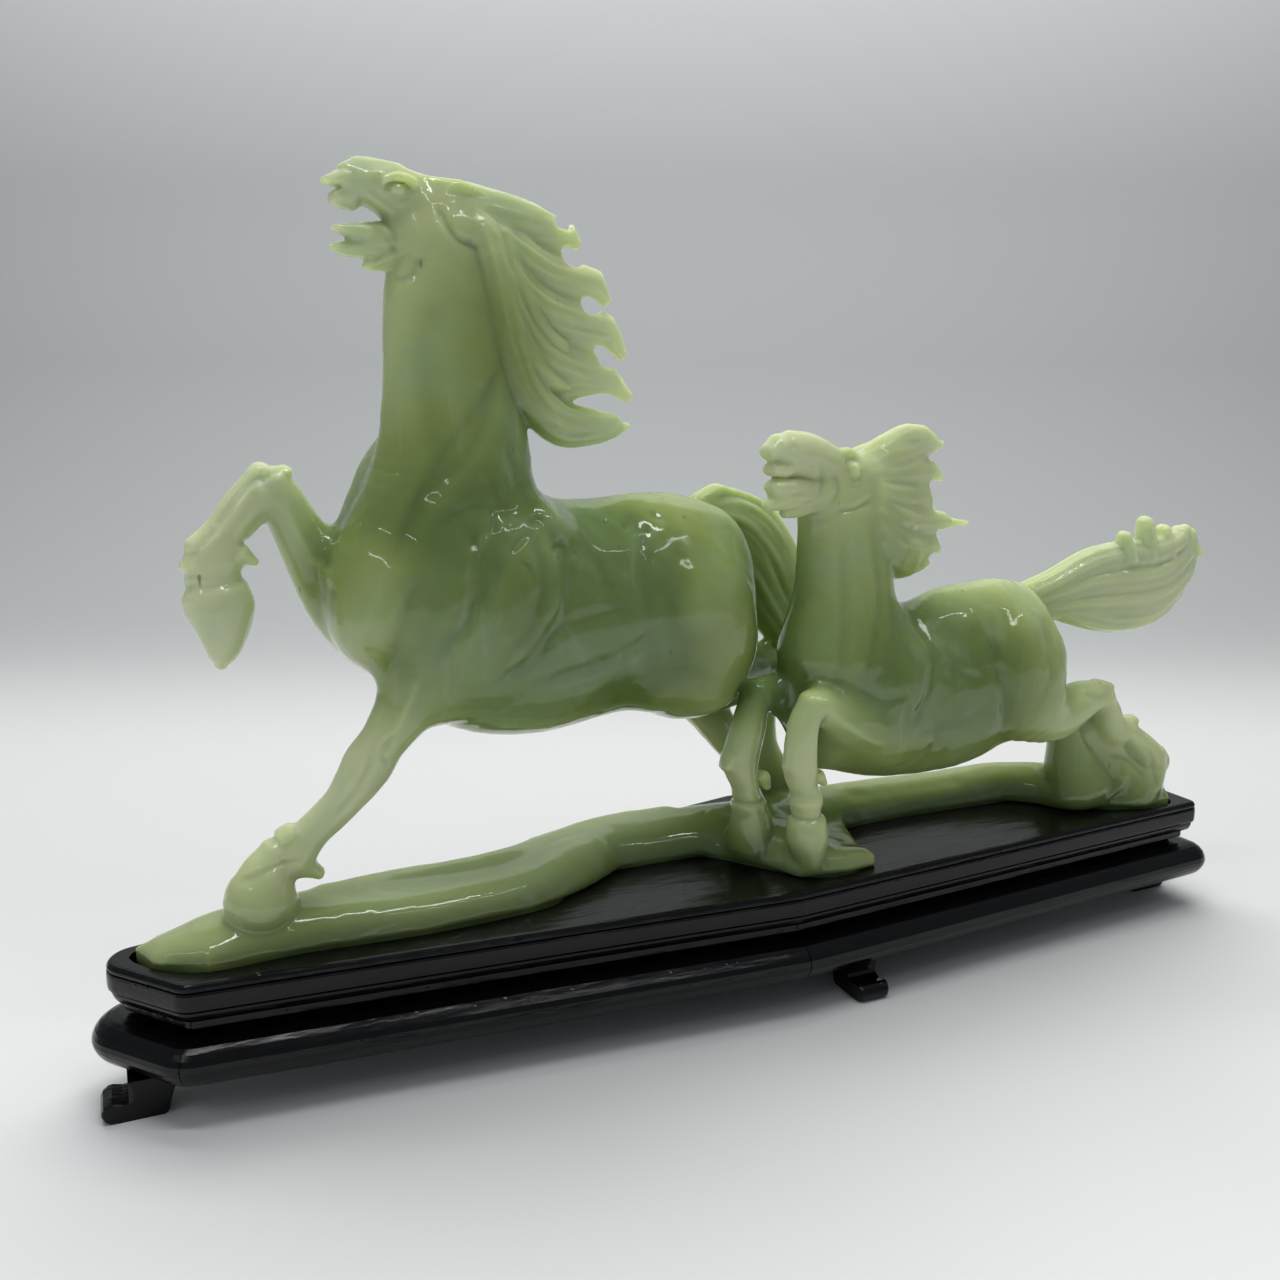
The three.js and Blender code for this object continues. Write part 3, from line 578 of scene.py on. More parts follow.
# The horse's mane: a thin sheet of stone behind the crest, with long locks lying on both its faces,
# which sweep down the neck and curl back into blunt tips with round bites between them.
mass(2.5, [[-85, -9, 229.4, 5, 7.4], [-74, -8.6, 228, 4.8, 6.4], [-63, -8, 226.4, 3.4, 4.4]])
mass(1.6, [[-65, -8, 222, 11.4, 3], [-59, -8, 206, 11.8, 3], [-55, -7.6, 192, 12.8, 3],
           [-53, -7, 181, 12.2, 2.8]])
MANE = (
    [[-88, -8, 231.6, 3.4, 6], [-78, -8, 230.6, 3.8, 6], [-68, -8, 229.4, 3.6, 5], [-59, -8, 228, 2.8, 3.6],
     [-54.4, -8, 226.4, 1.6, 2]],
    [[-82, -10, 226, 4, 5.6], [-70, -10, 225.6, 4.2, 5], [-58, -9, 224, 3.8, 3.6], [-50, -8, 223, 3.0, 2.8],
     [-46.8, -7.4, 221, 1.9, 2]],
    [[-77, -12, 224, 4, 5.6], [-67, -12, 218.6, 4.6, 5], [-57, -10, 213.6, 4.4, 4],
     [-48, -8, 211.4, 4, 3.2], [-41.4, -7.4, 210, 3.2, 2.6], [-38.2, -7, 206.4, 1.7, 2]],
    [[-76, -13.4, 222, 4, 5.6], [-68, -13.4, 211, 4.8, 5], [-58, -11, 203.6, 4.8, 4.2],
     [-47, -8.6, 200, 4.6, 3.2], [-38, -7.4, 197.4, 3.8, 2.6], [-33.8, -7, 192, 2.0, 2]],
    [[-75, -14.4, 220, 4, 5.4], [-68, -14.4, 203, 4.8, 5], [-60, -11.6, 193, 5, 4.4],
     [-49, -8.8, 187.4, 4.6, 3.4], [-38, -7.4, 185, 3.8, 2.6], [-31.8, -7, 180.4, 1.9, 2]],
    [[-74, -15, 216, 3.6, 5], [-69, -15, 196, 4.6, 5], [-63, -13, 182, 5.2, 4.6],
     [-54, -10, 173.4, 5.8, 3.8], [-44, -7.6, 171.4, 4.8, 3], [-36, -7, 171.6, 2.8, 2.4],
     [-31.4, -6.6, 172.4, 1.0, 1.4]],
)
for number, lock in enumerate(MANE):
    mass(2.8, lock, strands=10, depth=0.5, twist=0.8 * (-1) ** number)
for number, lock in enumerate(MANE[1:]):
    mass(2.0, [[x, -15 - y, z + 1.5, a, b] for x, y, z, a, b in lock[:-1]], strands=10, depth=0.5,
               twist=0.7)
THIN_LOCKS = (
    [[-76, -15.6, 224, 2.6, 3], [-72, -16.4, 208, 3, 3.4], [-66, -15.4, 194, 3, 3.4],
     [-58, -12.6, 186, 2.6, 3], [-51, -10.6, 183, 1.2, 1.6]],
    [[-70, -14.4, 222, 2.4, 3], [-66, -15, 209, 2.8, 3.2], [-60, -13.2, 199, 2.6, 3],
     [-52, -10.8, 194, 1.4, 2]],
    [[-72, -16, 200, 2.2, 3], [-68, -15.6, 186, 2.8, 3.2], [-62, -13.6, 177, 2.6, 3],
     [-54, -11.6, 174, 1.4, 2]],
)
for lock in THIN_LOCKS:
    mass(1.4, lock, strands=7, depth=0.45, twist=0.5)
CREST_LOCKS = (
    [[-92, -13, 233.6, 1.6, 1.6], [-85, -13.6, 233, 2, 2], [-76, -12.6, 231.6, 2, 2],
     [-68, -11, 230.6, 1.2, 1.4]],
    [[-90, -5, 234.4, 1.4, 1.6], [-82, -6, 234.2, 1.8, 2], [-74, -6.6, 232.8, 1.8, 2],
     [-66, -7, 231.4, 1.2, 1.4]],
    [[-84, -9, 234.6, 1.2, 1.6], [-77, -9, 233.6, 1.6, 1.8], [-70, -9, 232.2, 1.4, 1.6],
     [-63, -8.6, 231, 0.8, 1]],
)
for lock in CREST_LOCKS:
    mass(0.8, lock, strands=5, depth=0.5)
MANE_BITES = (
    (-52.4, 226.2, 1.5), (-49.6, 216.8, 1.5), (-44.4, 204.6, 1.7), (-39.4, 190.8, 1.9), (-39.2, 178.8, 2.2),
)
for x, z, wide in MANE_BITES:
    groove(0.6, [[x + 3, -8, z - 0.6, wide, 9], [x, -8, z, wide, 9]])

# The horse's raised right foreleg: forearm, knee, cannon, fetlock with its tuft, pastern and hoof.
mass(5, [[-99, 2, 118, 14, 11], [-111, 5, 126.5, 11, 9], [-120, 5, 141, 7.6, 7], [-126.6, 3, 154, 5.8, 6]])
mass(2.5, [[-127.4, 3, 158.6, 4.8, 5.2], [-133, 2, 155.4, 6.4, 5.8], [-141, 1, 147, 5.6, 5],
           [-145, 0, 141, 7.6, 5.2]])
mass(1.0, [[-124.6, 3, 161.8, 1.3, 4], [-126, 3, 162.2, 1.4, 3.6]])
mass(1.0, [[-130.8, 2, 162.2, 2.0, 4.6], [-133, 2, 161.6, 2.2, 4.2], [-137.6, 1, 155.6, 1.8, 3.6],
           [-145, 0, 146, 1.6, 3], [-151.6, 0, 138.6, 1.6, 3.2]])
mass(0.8, [[-150, 0, 139.6, 2.2, 4.6], [-152.6, 0, 138.4, 1.0, 3.4]])
mass(0.8, [[-138.6, 0, 141, 3.2, 4.4], [-134.8, 0, 138.6, 1.3, 2.8]])
mass(1.2, [[-145, 0, 139, 7.4, 5.2], [-145.4, 0, 133.4, 7.0, 5.2]])
mass(0.8, [[-145, 0, 130.4, 8.7, 6.6], [-144.2, 0, 127, 8.9, 7], [-143.8, 0, 122.5, 7.5, 6.6],
           [-144.1, 0, 117, 5.2, 5.6], [-144.7, 0, 113.6, 3.4, 4], [-145, 0, 112, 1.8, 2.4]])
score([[-154, 134], [-145, 133.6], [-137, 134]], 0.8, 0.4, -1, 0)
score([[-154, 136.6], [-145, 136], [-137, 136.4]], 0.7, 0.35, 0)
score([[-152, 139.8], [-145, 147.4], [-137.4, 156.6], [-131.6, 162]], 0.7, 0.6, 0)
score([[-147, 143], [-141, 150], [-134.6, 158.2], [-130.6, 156]], 0.9, -0.7, -1, 0)
score([[-126, 152], [-122, 142], [-116, 132]], 1.4, -0.7, -1, 4)
score([[-132, 151], [-136, 147], [-138, 142]], 0.9, 0.7, 0)

# The horse's standing left foreleg.
mass(7, [[-88, -14, 118, 15, 10], [-98, -15, 102, 9.4, 8.2], [-106, -15, 91, 6.4, 6.4],
         [-111, -14, 83.5, 6.8, 6.4], [-118, -13, 74, 5.0, 5.2], [-126, -12, 66.5, 4.8, 5],
         [-131, -12, 61, 6.0, 6]])
mass(1.2, [[-107, -18, 92, 2.4, 2.2], [-110.6, -18, 86, 2.8, 2.4]])
mass(1.5, [[-134, -12, 66.6, 2.0, 4], [-131.5, -12, 68, 1.8, 4]])
mass(1.0, [[-128, -12, 57.5, 3, 4.4], [-124.6, -12, 55, 1.8, 3.2]])
mass(1.5, [[-131, -12, 60, 5.2, 5.4], [-135, -12, 58.4, 5.4, 6]])
mass(0.9, [[-135.6, -12, 63, 4, 5], [-137.4, -12.4, 59.4, 6, 6.4], [-138.8, -13, 55.4, 8, 8],
           [-140, -13.4, 51.6, 9.5, 9.2], [-140, -13.4, 49, 9.6, 9.4]])
mass(0.9, [[-144.6, -13.4, 52, 3.4, 4.6], [-148.6, -13.4, 50.6, 1.4, 2.8]])
score([[-146, 57.4], [-138, 60.6], [-129, 62]], 0.6, 0.8, 0)
score([[-110, 90], [-114, 80], [-122, 71]], 1.0, 0.8, -1, -12)
score([[-104, 94], [-108, 89], [-106, 84]], 0.9, 0.7, -1, -12)
score([[-98, 112], [-102, 100], [-106, 92]], 1.4, -0.7, -1, -12)

# The horse's hind legs, which stretch back behind the foal's forelegs.
mass(8, [[-12, 0, 101, 15.5, 14], [6, 8, 93, 12, 11], [20, 14, 92, 8, 8], [29, 17, 93, 6, 6]])
mass(3, [[29, 17, 93, 6, 6], [28, 18, 78, 4.8, 5], [28, 17, 64, 5.4, 5.5], [31, 15, 52, 8, 8],
         [32, 14, 44, 10, 9]])
mass(1.6, [[22, 15, 97, 2.4, 3], [27.5, 15, 99.6, 1.8, 2.4]])
mass(6, [[-10, 12, 102, 16, 12], [4, 18, 84, 9, 8], [14, 20, 70, 6, 6], [24, 20, 57, 5.5, 5.5],
         [32, 18, 46, 9, 9]])

# The horse's tail: a wide plume that springs from the dock and falls behind the foal's neck.
TAIL = (
    [[-8, 8, 140, 6, 6], [2, 12, 146, 5, 5], [12, 14, 147, 5, 5], [24, 16, 141, 6, 5], [34, 17, 128, 6, 5],
     [41, 17, 112, 5, 4]],
    [[-6, 8, 138, 6, 6], [4, 12, 142.5, 6, 6], [14, 14, 140, 7, 6], [24, 16, 130, 8, 6],
     [33, 17, 117, 7, 5], [40, 16, 104, 4, 3.4]],
    [[-4, 8, 136, 6, 6], [5, 12, 137, 6, 6], [13, 14, 131, 7, 5.6], [21, 15, 120, 7, 5],
     [30, 16, 107, 6, 4.6], [37, 15, 99, 3, 3]],
)
for number, lock in enumerate(TAIL):
    mass(1.6, lock, strands=8, depth=0.6, twist=0.6 * number)
mass(1.2, [[1, 11, 148, 3, 3.4], [7, 12, 150.6, 3, 3.2], [13, 13, 148, 2, 2.6]], strands=5, depth=0.5)
score([[2, 148], [14, 149], [26, 143], [36, 130], [42, 116]], 1.0, 0.8, 0, 8)
score([[6, 142], [18, 138], [28, 126], [36, 110]], 1.0, 0.8, 0, 8)

# The foal's trunk and neck.
mass(5, [[31, -17, 90, 24, 16], [48, -15, 88.6, 27.6, 18], [66, -14, 87.6, 28.6, 18],
         [84, -12, 89.8, 30.2, 19], [101, -11, 94.6, 26.8, 18], [108, -11, 95.6, 24, 16]])
mass(7, [[36, -17, 104, 21, 16], [36, -17, 122, 16.4, 13], [35, -17, 138, 14.4, 11],
         [34.4, -17, 148, 14, 10], [34.6, -17, 156, 10.6, 9]])
mass(6, [[54, -25, 102, 9, 7], [48, -27, 92, 11, 8], [47, -24, 82, 9, 8]])
mass(7, [[98, -20, 102, 14, 9], [103, -22, 92, 15, 10], [107, -22, 82, 12, 9]])
score([[56, 116], [60, 104], [57, 92], [50, 80]], 1.95, 0.81, -1, -16)
score([[49.7, 92.6], [40, 90.7], [31, 96]], 1.69, 0.56, -1, -16)
score([[84.1, 106.4], [86, 96], [89.5, 85.4], [92.3, 74]], 2.08, 0.87, -1, -16)
score([[50.2, 76], [61, 79], [72, 79.4], [84, 84]], 1.82, 0.74, -1, -16)
score([[37.6, 144], [40.6, 126], [38.6, 112], [33, 98]], 1.82, 0.68, -1, -16)
score([[28, 142], [29, 124], [27, 106], [24, 92]], 1.69, 0.56, -1, -16)
score([[61.4, 101.1], [70, 95], [80, 92]], 1.95, 0.56, -1, -16)
score([[66, 112], [74, 106], [82, 108]], 2.08, 0.5, -1, -16)
score([[98, 114], [97, 104], [101, 92]], 3.38, -0.56, -1, -16)
score([[106, 110], [107, 98], [103, 84], [98, 76]], 1.82, 0.56, -1, -16)
score([[58, 116], [62, 100], [56, 84]], 1.95, 0.74, 1, -14)
score([[86, 108], [88, 92], [92, 78]], 2.08, 0.74, 1, -14)

# The foal's head, its round eye and its scalloped lips.
mass(3, [[40, -17, 157, 6.4, 7], [31, -18, 159, 6.2, 7], [20, -20.5, 163.2, 6.8, 6.4],
         [12, -22.5, 164.4, 6.6, 5.6]])
mass(1.5, [[8.6, -22.8, 166, 4.2, 5], [5.6, -23, 165, 2.6, 4.2]])
mass(2.5, [[38, -20, 154, 7, 5], [32, -20, 153, 7.6, 6], [22, -20, 153, 6, 6], [14, -22, 153.4, 5, 5],
           [9, -23, 154, 3.6, 4]])
mass(1.0, [[10, -22.5, 160, 3.0, 4.6], [6.4, -23, 160, 2.0, 3.8]])
mass(1.0, [[12, -22.5, 155, 3, 4.6], [6.8, -23, 155, 2.0, 3.6]])
mass(1.0, [[16, -22, 151.6, 3.6, 4.4], [9, -23, 150.8, 2.8, 3.6], [5.2, -23, 149.6, 1.7, 2.4]], strands=6,
           depth=0.5)
mass(1.0, [[22, -20, 150.4, 4, 4.4], [16, -21.4, 148.2, 2.8, 3.4], [11.6, -22, 147, 1.4, 2]], strands=6,
           depth=0.5)
groove(0.5, [[0, -23, 157.8, 0.7, 9], [4.6, -23, 157.8, 0.5, 9], [8, -22, 157.8, 0.3, 9]])
groove(0.5, [[0, -23, 162.4, 0.6, 9], [5, -23, 162.4, 0.4, 9]])
groove(0.5, [[0, -23, 152.8, 0.6, 9], [5.4, -23, 152.9, 0.4, 9]])
for y in (-25.4, -9.4):
    mass(0.5, [[32.6, y, 159.5, 2.1, 1.9], [33.2, y, 159.5, 2.1, 1.9]])
for side in (-1, 1):
    score([[30.2, 158], [30.6, 161.4], [33.4, 162.4], [36, 160.8]], 0.5, 0.6, side, -17)
    score([[30.6, 157.2], [33, 156.4], [35.6, 157.4]], 0.5, 0.6, side, -17)
    score([[30.4, 155.4], [33.4, 154.6], [36.4, 156]], 0.5, 0.4, side, -17)
    score([[9, 157.8], [15, 157.6], [20.6, 156.4]], 0.5, 0.7, side, -17)
    score([[20, 162.6], [22, 158], [21, 153], [16, 149.6]], 0.8, 0.5, side, -17)
    score([[26, 159], [27.4, 154], [25, 149.6]], 0.9, 0.6, side, -17)
    score([[8.6, 165.6], [11, 166.8], [12.6, 165.2]], 0.5, 0.6, side, -17)
    score([[8, 162.4], [13, 162.2], [17, 162.8]], 0.5, 0.4, side, -17)
    score([[10, 153], [15, 153.4], [19.4, 152]], 0.5, 0.4, side, -17)
    score([[26.9, 147.4], [33, 148], [39, 151]], 1.0, 0.8, side, -17)
mass(1.2, [[28.6, -22.6, 163, 1.2, 1.4], [31.6, -22.6, 164.4, 1.5, 1.6], [35, -21.4, 163.4, 1.1, 1.3]])
mass(1.2, [[28.6, -12.4, 163, 1.2, 1.4], [31.6, -12.4, 164.4, 1.5, 1.6], [35, -13, 163.4, 1.1, 1.3]])

# The foal's mane, blown back in a fan.
mass(2.5, [[47, -16, 162, 8.6, 3.6], [53, -15, 154, 13, 3.6], [57, -14, 144, 13, 3.4],
           [58, -13.4, 135, 13, 3.2], [56.6, -13.6, 130.6, 9.4, 3]])
FOAL_MANE = (
    [[41, -16, 161.6, 3, 4], [50, -15, 165, 3.8, 4], [58, -14, 168, 3.8, 3.4], [65, -13, 168.6, 3, 2.6],
     [68.8, -12.6, 168, 1.6, 1.8]],
    [[42, -18, 159, 3.6, 4.6], [52, -16, 161.6, 4.4, 4.4], [62, -14, 163.4, 3.8, 3.2],
     [69.6, -13, 164.8, 2.2, 2.2], [73, -12.6, 165.4, 1.2, 1.4]],
    [[42, -20, 156, 4, 4.8], [53, -17, 156.6, 4.6, 4.4], [63, -14, 157.4, 3.8, 3.2],
     [70, -12.6, 156.4, 2.6, 2.2], [73.8, -12, 154.8, 1.4, 1.4]],
    [[42, -22, 152, 4.4, 5], [52, -18.6, 150.4, 5, 4.6], [61, -15, 149, 4.2, 3.2],
     [66.6, -13, 148.4, 2.4, 2.2], [69, -12.6, 147.6, 1.2, 1.4]],
    [[42, -22, 148, 4.4, 5], [52, -19.6, 144, 5, 4.6], [63, -15, 141.4, 4, 3.2],
     [75, -12.4, 140.6, 2.4, 2.2], [86, -11, 139.8, 0.8, 1.0]],
    [[43, -22.6, 143, 4.4, 4.6], [52, -19.6, 137, 5.4, 4.6], [63, -15, 133.6, 4.4, 3.2],
     [71, -12.6, 133.2, 2.8, 2.2], [74, -12, 132, 1.6, 1.6]],
    [[43, -22.6, 138, 4, 4.4], [50, -19.6, 131, 4.8, 4.4], [58, -15, 128, 3.8, 3.2],
     [66, -13, 127.4, 2.4, 2.2], [70, -12.4, 127.8, 1.2, 1.4]],
)
for number, lock in enumerate(FOAL_MANE):
    mass(2.2, lock, strands=10, depth=0.4, twist=0.7 * (-1) ** number)
for lock in FOAL_MANE[1:-1]:
    mass(2.2, [[x, -25 - y, z + 1, a, b] for x, y, z, a, b in lock[:-1]], strands=10, depth=0.4, twist=0.6)

mass(2.5, [[45, -19.6, 142, 7, 6], [52, -17.6, 133.4, 8, 5], [61, -14.6, 131.4, 7, 3.6]])

# The foal's forelegs, folded over the ground, the left one nearer.
mass(5, [[54, -22, 78, 12, 9], [44, -26, 78, 9, 8], [31, -30, 84.4, 7, 7], [19, -32, 91, 5.2, 5.8]])
mass(2, [[17, -32, 92.4, 4.2, 5], [14, -32, 84, 4.8, 5.2], [13.4, -32, 72, 5.2, 5.2],
         [15, -31, 66, 4.2, 4.6], [16, -31, 61.6, 5.2, 5.4], [16, -31, 58.4, 4.2, 4.8]])
mass(1.0, [[20, -31, 69, 2, 3], [22, -31, 66.4, 1.2, 2]])
mass(1.0, [[10.4, -32, 76, 1.6, 3.6], [9.8, -32, 72.6, 1.6, 3.4]])
mass(0.8, [[16, -31, 59, 4.2, 4.6], [16.6, -31, 55, 5.8, 6], [17, -31, 50, 6.4, 6.6],
           [17.4, -31, 46, 5.4, 6], [17.4, -31, 42, 4.4, 5.4]])
mass(5, [[42, -8, 86, 12, 8], [24, -10, 89, 8.5, 7], [10, -13, 91, 5.4, 5.8]])
mass(2, [[8, -14, 92.6, 4.2, 5], [5, -15, 82, 5.4, 5.2], [2.4, -15, 71.4, 5.8, 5.2], [4, -15, 63, 4.2, 4.8],
         [5.4, -14.6, 57, 5.2, 5.4]])
mass(1.0, [[6, -14.4, 56, 5.2, 5.6], [7, -14, 50, 6.8, 7], [7.4, -13, 44, 7.6, 8.6]])
mass(1.0, [[-2, -15, 73, 1.8, 3.6], [-2.8, -15, 70, 1.8, 3.4]])
mass(1.0, [[9, -17, 66, 2.2, 3], [10.4, -17, 62.6, 1.4, 2.4]])
score([[9, 57.4], [16, 57], [23, 57.4]], 0.6, 0.8, -1, -24)
score([[-2, 59], [4, 58.4], [10, 58.6]], 0.6, 0.7, 0)
score([[19, 90], [17.6, 82], [18.4, 72]], 1.0, 0.7, -1, -24)
score([[22, 88], [32, 81], [42, 76]], 1.4, -0.7, -1, -24)

# The foal's hind legs, thrown back, and the web of stone that the carver left between and behind them.
mass(6, [[103, -16, 91, 18, 13], [109, -20, 79, 13, 11], [119, -21, 74.6, 9, 8], [131, -21, 78.4, 6.6, 6.4],
         [139, -21, 78.4, 5.2, 5.6]])
mass(1.5, [[138, -21, 78.6, 4.4, 5.4], [141.4, -21, 74, 5.0, 5.4], [145, -21, 67, 5.2, 5.4],
           [151, -21, 64.4, 4.8, 5.4]])
mass(1.5, [[150, -21.4, 65.6, 3.8, 5], [155, -21.6, 61.6, 4.6, 5.2], [160.6, -22, 56.6, 5, 5.6],
           [163.6, -22, 52, 5.4, 6], [161, -22, 46, 5.6, 7]])
mass(1.0, [[137, -21, 83.4, 1.6, 3.4], [142, -21, 82, 1.5, 3]])
mass(1.0, [[151.4, -21, 68.6, 1.8, 3.6], [154.2, -21, 68.6, 1.8, 3.4]])
mass(0.8, [[160.6, -22, 60, 2.2, 4], [163.4, -22, 59, 1.6, 3.4]])
mass(0.8, [[166, -22, 56.4, 2.4, 4], [169, -22, 53, 1.9, 3.6], [167.6, -22, 49, 2, 3.4]])
mass(4, [[106, -2, 88, 14, 9], [120, -5, 77, 9, 8], [131, -9, 74, 6.5, 6.5]])
mass(4, [[133, -10, 72, 6.5, 7], [135, -12, 62, 8, 7], [136, -13, 52, 10, 9], [138, -14, 44, 13, 11]])
mass(3, [[142, -15, 66, 7, 5], [148, -16, 57, 9, 7], [154, -17, 49, 10, 9], [158, -19, 42, 12, 10]])
score([[136, 76], [135, 66], [138, 58]], 1.0, 0.9, -1, -14)
score([[148, 64], [152, 58], [158, 52]], 1.0, 0.8, -1, -14)
score([[144, 58], [151, 55], [157, 48]], 0.9, 0.6, -1, -14)
score([[156, 60], [160, 54], [160, 46]], 0.8, 0.6, -1, -14)
score([[126, 82], [134, 80], [141, 82]], 1.0, 0.6, -1, -14)
score([[150, 52], [148, 46], [142, 41]], 1.2, -0.8, -1, -14)

# The foal's tail: a long plume that ends in upturned curls.
FOAL_TAIL = (
    [[110, -8, 111.4, 5, 5], [124, -9, 117, 4.6, 4.8], [138, -11, 123.6, 4.8, 4.8],
     [152, -13, 125.6, 5.4, 5], [164, -15, 126.6, 5.2, 4.8], [173, -16, 130, 4.2, 4],
     [176.6, -16, 134, 2.2, 2.4]],
    [[110, -8, 109.6, 5, 5], [124, -9, 112.8, 4.6, 4.8], [138, -11, 117, 5.6, 5.2], [152, -13, 118, 6.6, 6],
     [166, -15, 119, 6.4, 5.6], [175.6, -16, 125.4, 4.8, 4.2], [179.4, -16, 132.4, 2.6, 2.6]],
    [[110, -8, 108, 5, 5], [124, -9, 108.6, 4.8, 4.8], [138, -11, 110, 5.8, 5.2], [152, -13, 110.2, 6.8, 6],
     [166, -15, 112, 6.6, 5.6], [176, -16, 118, 5.0, 4.2], [180.4, -16, 125, 2.6, 2.6]],
    [[130, -10, 106.8, 4, 4], [141, -11, 105, 5, 4.8], [153, -13, 104, 5.4, 5], [165, -15, 106, 4.8, 4.6],
     [174.4, -16, 112, 3.4, 3.2]],
)
for number, lock in enumerate(FOAL_TAIL):
    mass(1.2, lock, strands=8, depth=0.6, twist=0.8 * number)
TAIL_CURLS = (
    (149.6, 135.4, 2.8), (158.4, 139.6, 3.2), (167.2, 136.6, 2.8), (174.4, 136.2, 2.4), (180.4, 133.4, 2.2),
)
for x, top, wide in TAIL_CURLS:
    mass(0.8, [[x + 2.5, -15, 125, wide, 5], [x + 1, -15, top - 6, wide, 4.2],
               [x, -15.4, top - 2.2, wide - 0.8, 3]], strands=6, depth=0.6)

# The ground's foot: a bank that rises from a low lip at the base outline in a quarter ellipse, and
# under it the plug that sits in the socket. The wheel has left long low waves over all the stone.
GAP = 0.3
GRINDING_WAVES = ((0.22, 13.0, 11), (0.1, 5.5, 12))
BANK_WIDTH = 7.0
BANK_LIP = 1.4
BANK_STEEPNESS = 0.7
FILLET, FILLET_FILL = 3, 0.75
# The height of the bank's shoulder above the board, along the board: [x from the middle, height].
BANK_HEIGHT = np.array([
    [-173, 2.4], [-166, 4.6], [-156, 6.4], [-140, 7.6], [-100, 7.6], [-50, 8], [0, 6], [12, 4.4], [44, 4.4],
    [56, 6.4], [172, 6.4],
])
edge_from = BASE_OUTLINE + [MIDDLE_X, MIDDLE_Y]
edge_to = np.roll(edge_from, -1, 0)


def outline_distance(px, py):
    """The signed distance to the base outline: to its nearest edge, negative on the inside.

    A point is inside when a ray from it crosses an odd number of edges.
    """
    best = np.full(np.broadcast_shapes(px.shape, py.shape), 1e9)
    inside = np.zeros(best.shape, bool)
    for a, b in zip(edge_from, edge_to):
        run = b - a
        t = np.clip(((px - a[0]) * run[0] + (py - a[1]) * run[1]) / (run @ run), 0, 1)
        best = np.minimum(best, (px - a[0] - t * run[0]) ** 2 + (py - a[1] - t * run[1]) ** 2)
        if run[1]:
            spans = (a[1] > py) != (b[1] > py)
            inside ^= spans & (px < a[0] + (py - a[1]) / run[1] * run[0])
    return np.where(inside, -1, 1) * np.sqrt(best)


x, y, z = (axis.reshape([-1 if k == n else 1 for k in range(3)]) for n, axis in enumerate(axes))
skin_depth = 2.5
near = np.nonzero(np.abs(stone) < skin_depth)
place = [axis[index] for axis, index in zip(axes, near)]
stone[near] += sum(height * wander(place, wave, seed) for height, wave, seed in GRINDING_WAVES)
stone = np.maximum(stone, BOARD_TOP + GAP - z)
plan = outline_distance(axes[0][:, None], axes[1][None, :]).astype(np.float32)[:, :, None]
rise = np.sqrt(1 - (1 - np.clip(-plan / BANK_WIDTH, 0, 1)) ** 2)
bank = BOARD_TOP + BANK_LIP + rise * (np.interp(x - MIDDLE_X, *BANK_HEIGHT.T) - BANK_LIP)
plug_bottom = BOARD_TOP - SOCKET_DEPTH + GAP
slab = np.maximum(np.maximum(plan, (z - bank) * BANK_STEEPNESS), plug_bottom - z).astype(np.float32)
fillet = np.maximum(FILLET - np.abs(stone - slab), 0) / FILLET
stone = np.minimum(stone, slab) - fillet ** 2 * FILLET_FILL * (z > BOARD_TOP + 1)


def sample(field, origin, cell, points):
    """A field's value at points, weighted between the eight cells round each."""
    spot = (points - origin) / cell
    corner = np.clip(np.floor(spot).astype(int), 0, np.array(field.shape) - 2)
    share = np.clip(spot - corner, 0, 1)
    total = 0.0
    for i, j, k in np.ndindex(2, 2, 2):
        weight = (share[:, 0] if i else 1 - share[:, 0]) * (share[:, 1] if j else 1 - share[:, 1])
        weight = weight * (share[:, 2] if k else 1 - share[:, 2])
        total = total + weight * field[corner[:, 0] + i, corner[:, 1] + j, corner[:, 2] + k]
    return total


def spread(field, cells_each_way):
    """A field averaged over a box round each cell, by running sums along each axis."""
    for axis in range(3):
        pad = [(cells_each_way + 1, cells_each_way) if k == axis else (0, 0) for k in range(3)]
        run = np.cumsum(np.pad(field, pad, mode="edge"), axis=axis)
        span = 2 * cells_each_way + 1
        upper = np.take(run, np.arange(span, run.shape[axis]), axis=axis)
        lower = np.take(run, np.arange(run.shape[axis] - span), axis=axis)
        field = (upper - lower) / span
    return field


TRIANGLES = 190_000


def carved_stone():
    """The zero surface of the field as a mesh, thinned to fewer triangles where it is plain."""
    grid = openvdb.FloatGrid(3 * VOXEL)
    grid.copyFromArray(np.clip(stone, -3 * VOXEL, 3 * VOXEL))
    points, triangles, quads = grid.convertToPolygons(0.0, 0.0)
    faces = quads[:, ::-1].tolist() + triangles[:, ::-1].tolist()
    mesh = bpy.data.meshes.new("jade_rough")
    mesh.from_pydata((points * VOXEL + first) * MM, [], faces)
    mesh.update()
    rough = bpy.data.objects.new("jade_rough", mesh)
    bpy.context.scene.collection.objects.link(rough)
    thin = rough.modifiers.new("thin", "DECIMATE")
    thin.ratio = min(1.0, TRIANGLES / (2 * len(quads) + len(triangles)))
    carved = bpy.data.meshes.new_from_object(rough.evaluated_get(bpy.context.evaluated_depsgraph_get()))
    bpy.data.objects.remove(rough)
    carved.polygons.foreach_set("use_smooth", np.ones(len(carved.polygons), bool))
    return carved


jade_mesh = carved_stone()
